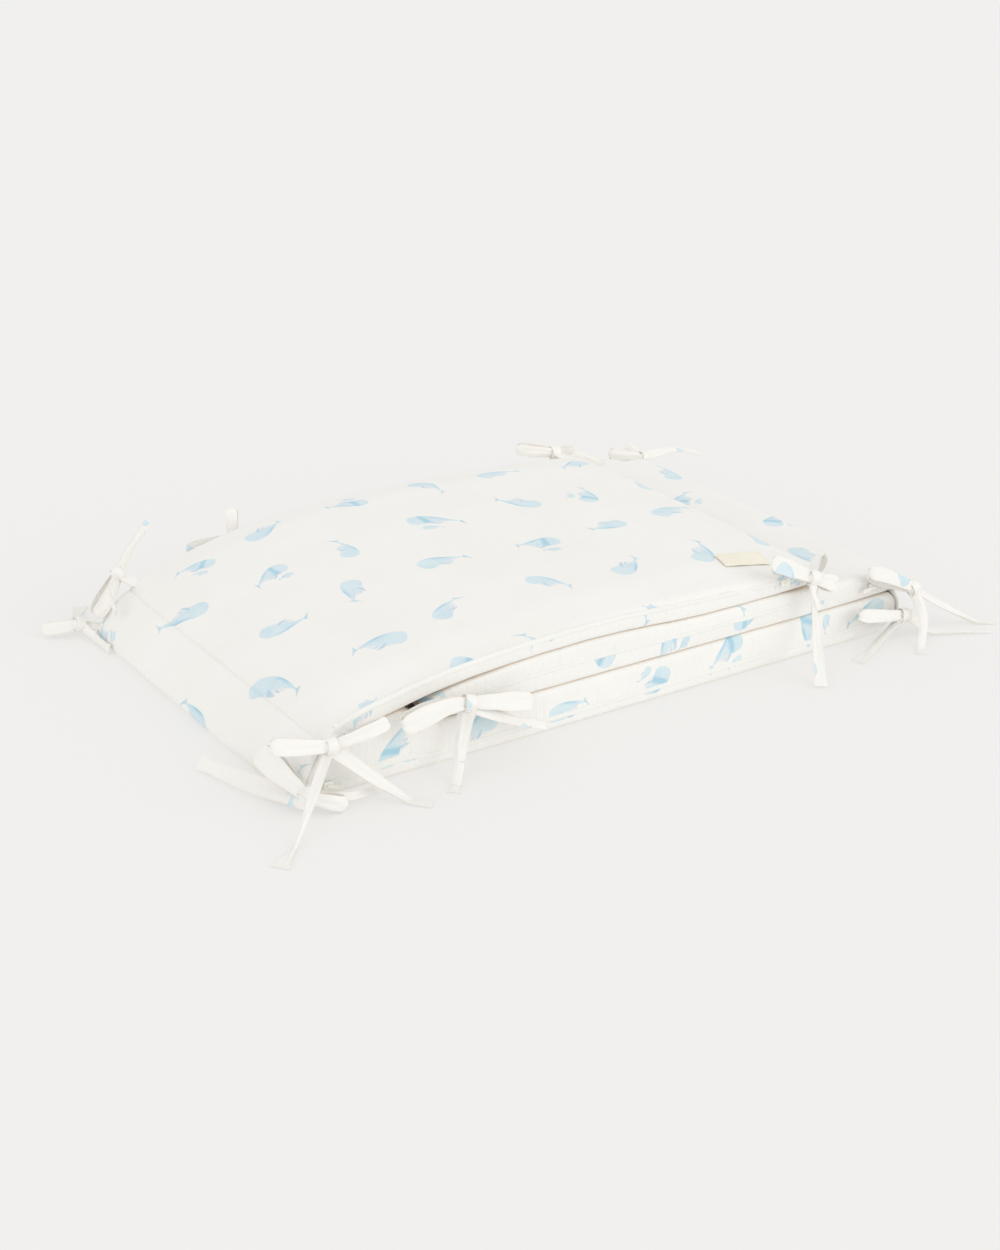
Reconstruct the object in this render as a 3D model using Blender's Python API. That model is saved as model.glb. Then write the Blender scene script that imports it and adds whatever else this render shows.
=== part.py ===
"""Crib bumper: one long padded casing folded into three layers, a concealed zip on each pad, and twelve bows.

X runs along the pads, -Y is the edge with the zips, Z is up and z = 0 is the surface that it rests on.
"""
import math

import bmesh
import bpy
import numpy as np
from mathutils import Matrix, Vector

# Casing, in metres.
halfWidth = 0.1813          # from the middle of the bumper to its front or back edge
stripThickness = 0.003      # two cloths together, where there is no filling
edgeDepth = 0.012           # how far in from the front or back edge a pad starts to round off
edgePower = 2.8             # squareness of that rounding
thinEdge = 0.002            # rounding depth beyond half the thickness, where the casing is thin
drawIn = 0.004              # how much narrower the casing is at its seams
crown = 0.003               # extra height in the middle of the top pad
padStations = 20
hingeStations = 2           # between two points of a hinge
columnCount = 8             # across one face of a pad
edgeCount = 6               # round one edge of a pad
clearance = 0.0003          # between two pieces that touch
probe = 0.02                # height step for the slope of a rounded edge
smoothAngle = math.radians(50.0)

# The filled pads in their order along the casing. Each starts and ends at a seam, where it is pinched flat.
# A nose is the length of the rounding beside a seam. outer is 1 where the casing's outer cloth faces up.
padColumns = ("name", "firstX", "firstZ", "firstNose", "lastX", "lastZ", "lastNose", "power", "outer", "crown")
padTable = (
    ("top", 0.215, 0.0725, 0.040, -0.277, 0.0490, 0.032, 2.2, 1, crown),
    ("bottom", -0.297, 0.0017, 0.056, 0.302, 0.0165, 0.028, 1.7, -1, 0.0),
    ("middle", 0.303, 0.0500, 0.020, -0.168, 0.0520, 0.030, 2.2, 1, 0.0),
)

# Height of a pad's lower face and its thickness, at places along X.
layColumns = ("x", "under", "thick")
layTables = {
    "top": (
        (-0.277, 0.0470, 0.0165),
        (-0.232, 0.0526, 0.0180),
        (-0.197, 0.0596, 0.0180),
        (-0.160, 0.0650, 0.0178),
        (-0.095, 0.0695, 0.0188),
        (-0.020, 0.0707, 0.0205),
        (0.070, 0.0658, 0.0243),
        (0.150, 0.0654, 0.0215),
        (0.190, 0.0668, 0.0160),
        (0.215, 0.0675, 0.0110),
    ),
    "bottom": (
        (-0.297, 0.0, 0.0369),
        (0.302, 0.0, 0.0369),
    ),
    "middle": (
        (-0.168, 0.0380, 0.0232),
        (-0.140, 0.0380, 0.0262),
        (-0.095, 0.0380, 0.0300),
        (-0.020, 0.0380, 0.0314),
        (0.070, 0.0380, 0.0266),
        (0.160, 0.0380, 0.0260),
        (0.230, 0.0383, 0.0225),
        (0.303, 0.0398, 0.0190),
    ),
}

# The unfilled strips between the pads, as points on the strip's middle line, seam to seam.
leftHinge = ((-0.2812, 0.0450), (-0.2880, 0.0345), (-0.2955, 0.0200), (-0.3008, 0.0075), (-0.3000, 0.0030))
rightHinge = (
    (0.3055, 0.0168),
    (0.3075, 0.0205),
    (0.3055, 0.0280),
    (0.3012, 0.0345),
    (0.2995, 0.0375),
    (0.3012, 0.0405),
    (0.3062, 0.0440),
    (0.3076, 0.0480),
    (0.3060, 0.0500),
)

# The left end sags towards the back: shift of the back edge at the left seam, and how far along X it fades out.
backShift = (0.011, -0.0075)
backShiftReach = 0.170

# Concealed zips, along the front face of each pad. height runs from -1 at the pad's foot to 1 at its top.
zipWidth = 0.006
zipThickness = 0.001
zipStand = 0.0006            # clear of the pad, whose front face is faceted
zipColumns = ("pad", "startX", "startHeight", "endX", "endHeight")
zipTable = (
    ("top", -0.258, 0.50, 0.172, 0.05),
    ("bottom", -0.284, -0.45, 0.288, -0.30),
    ("middle", -0.150, 0.05, 0.290, 0.10),
)

# Zip sliders: where each sits along its zip, and which way its pull hangs, in degrees from +X.
sliderColumns = ("pad", "x", "pullAngle")
sliderTable = (
    ("top", 0.164, 60.0),
    ("bottom", -0.2785, -20.0),
    ("middle", 0.268, 186.0),
)
sliderBody = (0.0075, 0.0024, 0.0052)
pullSize = (0.0130, 0.0010, 0.0036)
pullSink = 0.0002           # how deep the pull sits in the slider
bodyBevel = 0.0006
pullBevel = 0.0004

# The sewn-on label, on top of the top pad near its front right corner. It is plain.
labelMiddle = (0.1483, -0.1457)
labelSize = (0.0436, 0.0215)
labelTurn = -11.0
labelThickness = 0.001
labelStand = 0.0004         # clear of the pad
labelSteps = (6, 2)

# Bows. Their ribbons are strips of the same cloth, sewn double.
ribbonThickness = 0.0016
ribbonSteps = 10
loopSteps = 14
rootSteps = 2
knotSize = (0.0125, 0.0085, 0.0120)
knotWidth = 0.0085          # of a loop's ribbon, where it goes into the knot
rootWidth = 0.0120
rootKnotShare = 0.7         # of that width, where the root goes into the knot
floorHeight = 0.0011        # middle of a ribbon that lies on the surface
touchShare = 0.62           # where a tail comes down to the surface, from its way point to its end
touchRise = 0.0006

# knot is the bow's middle, root is where its ribbons come out of the casing.
tieColumns = ("name", "knot", "root")
tieTable = (
    ("top_front_left", (-0.2820, -0.1950, 0.0500), (-0.2700, -0.1740, 0.0510)),
    ("top_front_right", (0.1860, -0.1945, 0.0800), (0.1960, -0.1740, 0.0760)),
    ("top_back_left", (-0.2760, 0.1930, 0.0500), (-0.2620, 0.1740, 0.0430)),
    ("top_back_right", (0.1960, 0.1950, 0.0780), (0.2000, 0.1740, 0.0750)),
    ("middle_front_left", (-0.1620, -0.1950, 0.0540), (-0.1600, -0.1740, 0.0530)),
    ("middle_front_right", (0.3080, -0.1940, 0.0440), (0.2990, -0.1740, 0.0500)),
    ("middle_back_left", (-0.1620, 0.1950, 0.0600), (-0.1600, 0.1740, 0.0560)),
    ("middle_back_right", (0.3070, 0.1950, 0.0530), (0.2980, 0.1740, 0.0500)),
    ("bottom_front_left", (-0.3030, -0.1960, 0.0150), (-0.2900, -0.1740, 0.0120)),
    ("bottom_front_right", (0.3000, -0.1935, 0.0190), (0.2960, -0.1740, 0.0180)),
    ("bottom_back_left", (-0.3150, 0.1910, 0.0125), (-0.2930, 0.1740, 0.0100)),
    ("bottom_back_right", (0.3060, 0.1960, 0.0160), (0.2960, 0.1740, 0.0170)),
)

# Loops, from the knot: the loop's tip, how far its two limbs part, the ribbon's width at the tip, and the lean
# of the ribbon's width from upright, in degrees about the loop's length.
loopColumns = ("tie", "tip", "open", "width", "lean")
loopTable = (
    ("top_front_left", (-0.0430, 0.0100, 0.0070), 0.010, 0.0130, 20.0),
    ("top_front_left", (0.0457, -0.0050, 0.0097), 0.008, 0.0110, 50.0),
    ("top_front_right", (-0.0400, 0.0080, 0.0190), 0.006, 0.0155, 30.0),
    ("top_front_right", (0.0242, -0.0030, -0.0107), 0.009, 0.0140, 0.0),
    ("top_front_right", (0.0250, 0.0170, 0.0090), 0.010, 0.0100, 60.0),
    ("top_back_left", (-0.0300, -0.0170, -0.0260), 0.010, 0.0130, 25.0),
    ("top_back_right", (-0.0425, 0.0050, 0.0098), 0.010, 0.0120, 0.0),
    ("top_back_right", (0.0288, 0.0090, -0.0060), 0.008, 0.0110, 10.0),
    ("middle_front_left", (-0.0620, -0.0060, 0.0000), 0.009, 0.0160, 15.0),
    ("middle_front_left", (0.0560, -0.0030, -0.0120), 0.008, 0.0150, 20.0),
    ("middle_front_right", (-0.0519, 0.0040, 0.0238), 0.014, 0.0130, 30.0),
    ("middle_back_left", (0.0040, 0.0090, 0.0250), 0.008, 0.0110, 80.0),
    ("middle_back_left", (-0.0420, 0.0080, -0.0060), 0.010, 0.0120, 10.0),
    ("middle_back_right", (-0.0375, 0.0060, 0.0094), 0.009, 0.0120, 10.0),
    ("middle_back_right", (-0.0120, 0.0120, 0.0110), 0.008, 0.0110, 20.0),
    ("bottom_front_left", (-0.0160, 0.0420, 0.0230), 0.007, 0.0130, 10.0),
    ("bottom_front_left", (0.0270, -0.0100, -0.0090), 0.008, 0.0120, -10.0),
    ("bottom_front_right", (-0.0571, -0.0035, 0.0138), 0.010, 0.0115, 15.0),
    ("bottom_front_right", (0.0300, 0.0030, -0.0090), 0.009, 0.0120, 0.0),
    ("bottom_back_left", (-0.0285, 0.0165, -0.0055), 0.008, 0.0110, 20.0),
    ("bottom_back_right", (-0.0380, 0.0090, -0.0050), 0.009, 0.0120, 10.0),
    ("bottom_back_right", (0.0350, 0.0080, -0.0060), 0.009, 0.0120, 10.0),
)

# One limb of a loop, from the knot to the tip: share of the loop's length, less this share of the half opening,
# share of the half opening, and how far the ribbon has spread to its full width.
limbColumns = ("along", "short", "apart", "spread")
limbTable = (
    (0.00, 0.0, 0.30, 0.0),
    (0.35, 0.0, 0.80, 0.5),
    (0.78, 0.0, 1.00, 1.0),
    (1.00, 0.25, 0.62, 1.0),
    (1.00, 0.0, 0.00, 1.0),
)

# Tails: a point on the way and the end, both from the knot along X and Y and from the surface in Z, with the
# ribbon's width at the knot and at its end, and the lean of its width from level, in degrees, at each.
tailColumns = ("tie", "way", "end", "knotWidth", "endWidth", "knotLean", "endLean")
tailTable = (
    ("top_front_left", (-0.0200, -0.0155, 0.0267), (-0.0746, -0.0582, 0.0011), 0.0085, 0.0140, 10.0, 0.0),
    ("top_front_left", (0.0290, -0.0080, 0.0210), (0.0640, -0.0380, 0.0011), 0.0120, 0.0090, 50.0, 0.0),
    ("top_front_right", (0.0007, -0.0060, 0.0432), (-0.0250, -0.0458, 0.0011), 0.0110, 0.0120, 10.0, 0.0),
    ("top_front_right", (0.0055, -0.0045, 0.0430), (-0.0150, -0.0390, 0.0011), 0.0090, 0.0110, 30.0, 0.0),
    ("top_back_left", (0.0200, 0.0190, 0.0610), (0.0520, 0.0470, 0.0728), 0.0090, 0.0080, 60.0, 60.0),
    ("top_back_left", (-0.0160, -0.0180, 0.0480), (-0.0215, -0.0430, 0.0340), 0.0080, 0.0070, 70.0, 80.0),
    ("top_back_right", (0.0340, 0.0090, 0.0690), (0.0675, 0.0060, 0.0512), 0.0090, 0.0090, 60.0, 70.0),
    ("top_back_right", (-0.0050, 0.0120, 0.0400), (-0.0160, 0.0460, 0.0011), 0.0100, 0.0110, 10.0, 0.0),
    ("middle_front_left", (-0.0120, -0.0080, 0.0270), (-0.0340, -0.0320, 0.0011), 0.0140, 0.0090, 15.0, 0.0),
    ("middle_front_left", (0.0340, -0.0050, 0.0330), (0.0710, -0.0020, 0.0160), 0.0150, 0.0060, 60.0, 60.0),
    ("middle_front_right", (-0.0010, -0.0165, 0.0220), (-0.0240, -0.0410, 0.0011), 0.0100, 0.0095, 15.0, 0.0),
    ("middle_front_right", (0.0430, -0.0080, 0.0150), (0.0820, -0.0250, 0.0011), 0.0100, 0.0080, 40.0, 10.0),
    ("middle_back_left", (-0.0100, 0.0120, 0.0300), (-0.0280, 0.0480, 0.0011), 0.0100, 0.0110, 10.0, 0.0),
    ("middle_back_left", (0.0220, 0.0110, 0.0330), (0.0450, 0.0360, 0.0011), 0.0100, 0.0110, 20.0, 0.0),
    ("middle_back_right", (0.0540, 0.0180, 0.0470), (0.1120, 0.0460, 0.0260), 0.0090, 0.0080, 50.0, 40.0),
    ("middle_back_right", (0.0030, 0.0220, 0.0240), (0.0060, 0.0560, 0.0011), 0.0100, 0.0110, 20.0, 0.0),
    ("bottom_front_left", (-0.0170, 0.0460, 0.0085), (-0.0343, 0.1070, 0.0060), 0.0125, 0.0110, -60.0, -45.0),
    ("bottom_front_left", (0.0330, -0.0050, 0.0080), (0.0700, 0.0020, 0.0040), 0.0090, 0.0070, 60.0, 60.0),
    ("bottom_front_right", (-0.0340, -0.0080, 0.0080), (-0.0750, -0.0240, 0.0011), 0.0110, 0.0110, 30.0, 0.0),
    ("bottom_front_right", (0.0200, -0.0140, 0.0050), (0.0720, -0.0378, 0.0011), 0.0110, 0.0080, 20.0, 0.0),
    ("bottom_back_left", (0.0050, -0.0230, 0.0060), (0.0060, -0.0480, 0.0050), 0.0090, 0.0080, 80.0, 80.0),
    ("bottom_back_left", (0.0080, 0.0260, 0.0060), (0.0250, 0.0600, 0.0011), 0.0110, 0.0120, 10.0, 0.0),
    ("bottom_back_right", (-0.0080, 0.0250, 0.0070), (-0.0180, 0.0620, 0.0011), 0.0110, 0.0120, 10.0, 0.0),
    ("bottom_back_right", (0.0280, 0.0220, 0.0070), (0.0620, 0.0450, 0.0011), 0.0110, 0.0110, 10.0, 0.0),
)

clothColour = (0.86, 0.845, 0.80)
ribbonColour = (0.88, 0.86, 0.80)
labelColour = (0.87, 0.80, 0.62)
zipColour = (0.84, 0.82, 0.77)
metalColour = (0.80, 0.78, 0.72)


def rows(columns, table):
    return [dict(zip(columns, row)) for row in table]


pads = {pad["name"]: pad for pad in rows(padColumns, padTable)}


def clear_scene():
    for old in list(bpy.data.objects):
        bpy.data.objects.remove(old, do_unlink=True)


def material(name, colour, roughness, metallic=0.0):
    made = bpy.data.materials.new(name)
    made.use_nodes = True
    shader = made.node_tree.nodes["Principled BSDF"]
    shader.inputs["Base Color"].default_value = (*colour, 1.0)
    shader.inputs["Roughness"].default_value = roughness
    shader.inputs["Metallic"].default_value = metallic
    return made


def add_object(name, bm, surface, helper=False):
    """Object from a bmesh, smooth where its faces meet at a shallow angle."""
    bmesh.ops.recalc_face_normals(bm, faces=bm.faces)
    mesh = bpy.data.meshes.new(name)
    bm.to_mesh(mesh)
    bm.free()
    made = bpy.data.objects.new(name, mesh)
    bpy.context.scene.collection.objects.link(made)
    if surface is not None:
        mesh.materials.append(surface)
    if helper:
        made.hide_render = True
        made.display_type = "WIRE"
    else:
        mesh.shade_smooth()
        mesh.set_sharp_from_angle(angle=smoothAngle)
    return made


def smooth_between(table, x):
    """Columns of a table whose first column is x, eased from row to row."""
    ordered = sorted(table)
    places = [row[0] for row in ordered]
    slopes = []
    for index in range(len(ordered)):
        low = max(index - 1, 0)
        high = min(index + 1, len(ordered) - 1)
        run = places[high] - places[low]
        slopes.append([(b - a) / run for a, b in zip(ordered[low][1:], ordered[high][1:])])
    x = min(max(x, places[0]), places[-1])
    index = 0
    while index < len(places) - 2 and x > places[index + 1]:
        index += 1
    run = places[index + 1] - places[index]
    t = (x - places[index]) / run
    blend = ((1 + 2 * t) * (1 - t) ** 2, t * (1 - t) ** 2, t * t * (3 - 2 * t), t * t * (t - 1))
    start, end = ordered[index][1:], ordered[index + 1][1:]
    into, away = slopes[index], slopes[index + 1]
    return [
        blend[0] * a + blend[1] * run * sa + blend[2] * b + blend[3] * run * sb
        for a, b, sa, sb in zip(start, end, into, away)
    ]


def fullness(distance, nose, power):
    """0 at a seam, 1 where the pad has its full thickness."""
    if distance >= nose:
        return 1.0
    return (1.0 - (1.0 - max(distance, 0.0) / nose) ** power) ** (1.0 / power)


def pad_section(name, x):
    """Height of the middle, thickness and fullness of a pad at x."""
    pad = pads[name]
    lay = dict(zip(layColumns[1:], smooth_between(layTables[name], x)))
    under, thick = lay["under"], lay["thick"]
    nearFirst = fullness(abs(x - pad["firstX"]), pad["firstNose"], pad["power"])
    nearLast = fullness(abs(x - pad["lastX"]), pad["lastNose"], pad["power"])
    full = min(nearFirst, nearLast)
    seamZ = pad["firstZ"] if nearFirst < nearLast else pad["lastZ"]
    middle = (1.0 - full) * seamZ + full * (under + thick / 2)
    return middle, stripThickness + (thick - stripThickness) * full, full


def pad_stations(name):
    pad = pads[name]
    made = []
    for step in range(padStations + 1):
        along = 0.5 - 0.5 * math.cos(math.pi * step / padStations)
        x = pad["firstX"] + (pad["lastX"] - pad["firstX"]) * along
        middle, thick, full = pad_section(name, x)
        made.append((x, middle, 0.0, float(pad["outer"]), thick, full, pad["crown"] * full))
    return made


def curve_point(points, index, t):
    """Point on a Catmull-Rom curve through the points, t of the way from one to the next."""
    p0 = points[max(index - 1, 0)]
    p1 = points[index]
    p2 = points[index + 1]
    p3 = points[min(index + 2, len(points) - 1)]
    slope = p2 - p0
    bend = 2 * p0 - 5 * p1 + 4 * p2 - p3
    twist = 3 * p1 - p0 - 3 * p2 + p3
    return 0.5 * (2 * p1 + slope * t + bend * t**2 + twist * t**3)


def hinge_stations(before, hinge, after):
    """Stations of an unfilled strip between the last seam of one pad and the first seam of the next."""
    start = np.array((pads[before]["lastX"], pads[before]["lastZ"]))
    end = np.array((pads[after]["firstX"], pads[after]["firstZ"]))
    points = [start, *[np.array(point) for point in hinge], end]
    line = [
        curve_point(points, index, step / hingeStations)
        for index in range(len(points) - 1)
        for step in range(hingeStations)
    ]
    line.append(end)
    made = []
    for index in range(1, len(line) - 1):
        run = line[index + 1] - line[index - 1]
        run /= np.hypot(*run)
        made.append((line[index][0], line[index][1], run[1], -run[0], stripThickness, 0.0, 0.0))
    return made


def stations():
    """Every cross-section, from the top pad's free edge to the middle pad's free edge."""
    return [
        *pad_stations("top"),
        *hinge_stations("top", leftHinge, "bottom"),
        *pad_stations("bottom"),
        *hinge_stations("bottom", rightHinge, "middle"),
        *pad_stations("middle"),
    ]


def edge_bulge(height):
    """How far the rounded edge reaches, from 0 to 1, at a height from -1 to 1."""
    return (1.0 - min(abs(height), 1.0) ** edgePower) ** (1.0 / edgePower)


def rounding_depth(thick):
    """How far in from the front or back edge the rounding starts, less where the casing is thin."""
    return min(edgeDepth, thick / 2 + thinEdge)


def section_outline():
    """Outline of one cross-section, as flat share (-1 to 1), edge share (-1 to 1) and height (-1 to 1)."""
    flat = [2 * step / columnCount - 1 for step in range(columnCount + 1)]
    turn = []
    for step in range(1, edgeCount):
        angle = math.pi / 2 - math.pi * step / edgeCount
        height = math.copysign(abs(math.sin(angle)) ** (2 / edgePower), angle)
        turn.append((edge_bulge(height), height))
    outline = [(share, 0.0, 1.0) for share in flat]
    outline += [(1.0, reach, height) for reach, height in turn]
    outline += [(share, 0.0, -1.0) for share in reversed(flat)]
    outline += [(-1.0, -reach, -height) for reach, height in turn]
    return outline


def back_sag(x, z, y):
    """Shift of a point of the casing's left end, more towards the back."""
    near = max(0.0, 1.0 - abs(x - pads["top"]["lastX"]) / backShiftReach)
    lifted = min(1.0, max(0.0, z / pads["top"]["lastZ"]))
    share = near**2 * (3 - 2 * near) * lifted * (0.5 + 0.5 * y / halfWidth)
    return backShift[0] * share * near**4, backShift[1] * share


def section_ring(station, outline, layer):
    """Points of one cross-section. layer is 1 for the top pad and its hinge, which sag at the back."""
    x, z, acrossX, acrossZ, thick, full, rise = station
    depth = rounding_depth(thick)
    reach = halfWidth - drawIn * (1.0 - full)
    ring = []
    for flat, edge, height in outline:
        y = flat * (reach - depth) + edge * depth
        offset = height * thick / 2
        if height == 1.0:
            offset += rise * (1.0 - (y / halfWidth) ** 2)
        shiftX, shiftZ = back_sag(x, z, y) if layer else (0.0, 0.0)
        ring.append((x + acrossX * offset + shiftX, y, z + acrossZ * offset + shiftZ))
    return ring


def bumper_bmesh(grow=0.0):
    """The casing as one closed skin: rings of points joined along its length and laced shut at both ends.

    grow moves the whole skin outward, for trimming what touches it.
    """
    outline = section_outline()
    upper = padStations + 1 + hingeStations * (len(leftHinge) + 1) - 1
    bm = bmesh.new()
    rings = []
    allStations = stations()
    for index, station in enumerate(allStations):
        ring = section_ring(station, outline, index < upper)
        rings.append([bm.verts.new(point) for point in ring])
    count = len(outline)
    for near, far in zip(rings, rings[1:]):
        for index in range(count):
            after = (index + 1) % count
            bm.faces.new((near[index], near[after], far[after], far[index]))
    for ring in (rings[0], rings[-1]):
        lace(bm, ring)
    bmesh.ops.recalc_face_normals(bm, faces=bm.faces)
    moves = [vert.normal * grow * vert.calc_shell_factor() for vert in bm.verts]
    for vert, move in zip(bm.verts, moves):
        vert.co += move
    return bm


def lace(bm, ring):
    """Closes an end: its two faces are joined column by column, and each rounded edge from its middle."""
    count = len(ring)
    side = edgeCount // 2
    turned = [ring[(index - side) % count] for index in range(count)]
    for index in range(count // 2):
        corners = (turned[index], turned[index + 1], turned[-index - 1], turned[-index])
        if index == 0:
            corners = (turned[0], turned[1], turned[-1])
        elif index == count // 2 - 1:
            corners = (turned[index], turned[index + 1], turned[-index])
        bm.faces.new(corners)


def front_face(name, x, height, stand):
    """Point that stands off a pad's front face, and the face's direction there."""
    middle, thick, full = pad_section(name, x)
    reach = halfWidth - drawIn * (1.0 - full)
    depth = rounding_depth(thick)
    y = -(reach - depth) - depth * edge_bulge(height)
    shrink = depth * (edge_bulge(height - probe) - edge_bulge(height + probe))
    outward = Vector((0.0, -thick * probe, shrink))
    outward.normalize()
    shiftX, shiftZ = back_sag(x, middle, y) if name == "top" else (0.0, 0.0)
    place = Vector((x + shiftX, y, middle + height * thick / 2 + shiftZ))
    return place + outward * stand, outward


def sweep(bm, rings):
    """Joins equal rings of points into one closed strip with flat ends."""
    made = [[bm.verts.new(point) for point in ring] for ring in rings]
    count = len(made[0])
    for near, far in zip(made, made[1:]):
        for index in range(count):
            after = (index + 1) % count
            bm.faces.new((near[index], near[after], far[after], far[index]))
    bm.faces.new(reversed(made[0]))
    bm.faces.new(made[-1])


def zip_bmesh(row):
    """Placket of one concealed zip, a strip that follows the pad's front face."""
    rings = []
    between = [station[0] for station in pad_stations(row["pad"]) if row["startX"] < station[0] < row["endX"]]
    for x in [row["startX"], *sorted(between), row["endX"]]:
        share = (x - row["startX"]) / (row["endX"] - row["startX"])
        height = row["startHeight"] + (row["endHeight"] - row["startHeight"]) * share
        spread = zipWidth / pad_section(row["pad"], x)[1]
        inner = []
        outer = []
        for level in (height + spread, height, height - spread):
            inner.append(front_face(row["pad"], x, level, zipStand)[0])
            outer.append(front_face(row["pad"], x, level, zipStand + zipThickness)[0])
        rings.append(inner + outer[::-1])
    bm = bmesh.new()
    sweep(bm, rings)
    return bm


def box_bmesh(size, bevel):
    bm = bmesh.new()
    bmesh.ops.create_cube(bm, size=1.0)
    bmesh.ops.scale(bm, vec=size, verts=bm.verts)
    bmesh.ops.bevel(
        bm, geom=bm.edges[:], offset=bevel, offset_type="OFFSET",
        segments=1, profile=0.5, affect="EDGES", material=-1,
    )
    return bm


def join_to(main, other, operation="UNION"):
    step = main.modifiers.new(other.name, "BOOLEAN")
    step.operation = operation
    step.solver = "EXACT"
    step.object = other


def build_slider(row, zips, surface):
    """Zip slider with its pull, one casting with its tab, on the front of a placket."""
    zipRow = zips[row["pad"]]
    share = (row["x"] - zipRow["startX"]) / (zipRow["endX"] - zipRow["startX"])
    height = zipRow["startHeight"] + (zipRow["endHeight"] - zipRow["startHeight"]) * share
    stand = zipStand + zipThickness + clearance + sliderBody[1] / 2
    place, outward = front_face(row["pad"], row["x"], height, stand)
    lean = math.atan2(outward.z, -outward.y)
    turn = Matrix.Rotation(-lean, 4, "X")
    body = add_object("slider_" + row["pad"], box_bmesh(sliderBody, bodyBevel), surface)
    body.data.transform(Matrix.Translation(place) @ turn)
    swing = Matrix.Rotation(-math.radians(row["pullAngle"]), 4, "Y")
    reach = Matrix.Translation((pullSize[0] / 2, pullSink - sliderBody[1] / 2, 0.0))
    pull = add_object("pull_guide_" + row["pad"], box_bmesh(pullSize, pullBevel), None, helper=True)
    pull.data.transform(Matrix.Translation(place) @ turn @ swing @ reach)
    join_to(body, pull)


def label_bmesh():
    """A flat label that follows the top of the top pad."""
    turn = math.radians(labelTurn)
    across, down = labelSteps
    lower = []
    upper = []
    bm = bmesh.new()
    for row in range(down + 1):
        lowRow, highRow = [], []
        for column in range(across + 1):
            u = (column / across - 0.5) * labelSize[0]
            v = (row / down - 0.5) * labelSize[1]
            x = labelMiddle[0] + u * math.cos(turn) - v * math.sin(turn)
            y = labelMiddle[1] + u * math.sin(turn) + v * math.cos(turn)
            z = top_height(x, y) + labelStand
            lowRow.append(bm.verts.new((x, y, z)))
            highRow.append(bm.verts.new((x, y, z + labelThickness)))
        lower.append(lowRow)
        upper.append(highRow)
    for row in range(down):
        for column in range(across):
            for grid in (lower, upper):
                near, far = grid[row], grid[row + 1]
                bm.faces.new((near[column], near[column + 1], far[column + 1], far[column]))
    rim = [(0, column) for column in range(across)] + [(row, across) for row in range(down)]
    rim += [(down, column) for column in range(across, 0, -1)] + [(row, 0) for row in range(down, 0, -1)]
    for (row, column), (nextRow, nextColumn) in zip(rim, rim[1:] + rim[:1]):
        foot = (lower[row][column], lower[nextRow][nextColumn])
        head = (upper[nextRow][nextColumn], upper[row][column])
        bm.faces.new((*foot, *head))
    return bm


def top_height(x, y):
    """Height of the top pad's upper face."""
    middle, thick, full = pad_section("top", x)
    rise = crown * full * (1.0 - (y / halfWidth) ** 2)
    return middle + thick / 2 + rise + back_sag(x, middle, y)[1]


def ribbon_bmesh(points, acrosses, widths, steps):
    """A flat ribbon along a curve. acrosses and widths hold its width's direction and size at the points."""
    rings = []
    last = len(points) - 1
    samples = [min(step * last / steps, last) for step in range(steps + 1)]
    line = []
    for sample in samples:
        index = min(int(sample), last - 1)
        line.append(curve_point(points, index, sample - index))
    for number, sample in enumerate(samples):
        index = min(int(sample), last - 1)
        t = sample - index
        run = line[min(number + 1, steps)] - line[max(number - 1, 0)]
        run.normalize()
        across = acrosses[index].lerp(acrosses[index + 1], t)
        across -= run * across.dot(run)
        across.normalize()
        face = run.cross(across)
        width = widths[index] + (widths[index + 1] - widths[index]) * t
        side = across * (width / 2)
        thick = face * (ribbonThickness / 2)
        corners = [line[number] + reach for reach in (-side - thick, side - thick, side + thick, thick - side)]
        lift = max(0.0, clearance - min(corner.z for corner in corners))
        rings.append([corner + Vector((0.0, 0.0, lift)) for corner in corners])
    bm = bmesh.new()
    sweep(bm, rings)
    return bm


def loop_bmesh(knot, row):
    """A bow's loop: out from the knot along one limb, round the tip and back along the other."""
    tip = Vector(row["tip"])
    length = tip.length
    run = tip / length
    level = Vector((0.0, 0.0, 1.0)).cross(run)
    level.normalize()
    upright = run.cross(level)
    lean = Matrix.Rotation(math.radians(row["lean"]), 3, run)
    across = lean @ upright
    apart = lean @ level
    half = row["open"] / 2
    shape = rows(limbColumns, limbTable)
    limbs = [(limb, 1.0) for limb in shape] + [(limb, -1.0) for limb in reversed(shape[:-1])]
    points = []
    widths = []
    for limb, side in limbs:
        along = run * (limb["along"] * length - limb["short"] * half)
        points.append(knot + along + apart * (half * limb["apart"] * side))
        widths.append(knotWidth + (row["width"] - knotWidth) * limb["spread"])
    return ribbon_bmesh(points, [across] * len(points), widths, loopSteps)


def tail_bmesh(knot, row):
    """A bow's tail, from the knot to its free end."""
    start = knot.copy()
    way = Vector((knot.x + row["way"][0], knot.y + row["way"][1], row["way"][2]))
    end = Vector((knot.x + row["end"][0], knot.y + row["end"][1], row["end"][2]))
    lying = row["end"][2] <= floorHeight
    points = [start, way]
    if lying:
        touch = way.lerp(end, touchShare)
        touch.z = floorHeight + touchRise
        points.append(touch)
    points.append(end)
    heading = end - start
    heading.z = 0.0
    heading.normalize()
    level = Vector((0.0, 0.0, 1.0)).cross(heading)
    acrosses = []
    widths = []
    for index in range(len(points)):
        share = index / (len(points) - 1)
        lean = math.radians(row["knotLean"] + (row["endLean"] - row["knotLean"]) * share)
        if lying and index >= 2:
            lean = 0.0
        acrosses.append(level * math.cos(lean) + Vector((0.0, 0.0, 1.0)) * math.sin(lean))
        widths.append(row["knotWidth"] + (row["endWidth"] - row["knotWidth"]) * share)
    return ribbon_bmesh(points, acrosses, widths, ribbonSteps)


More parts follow.
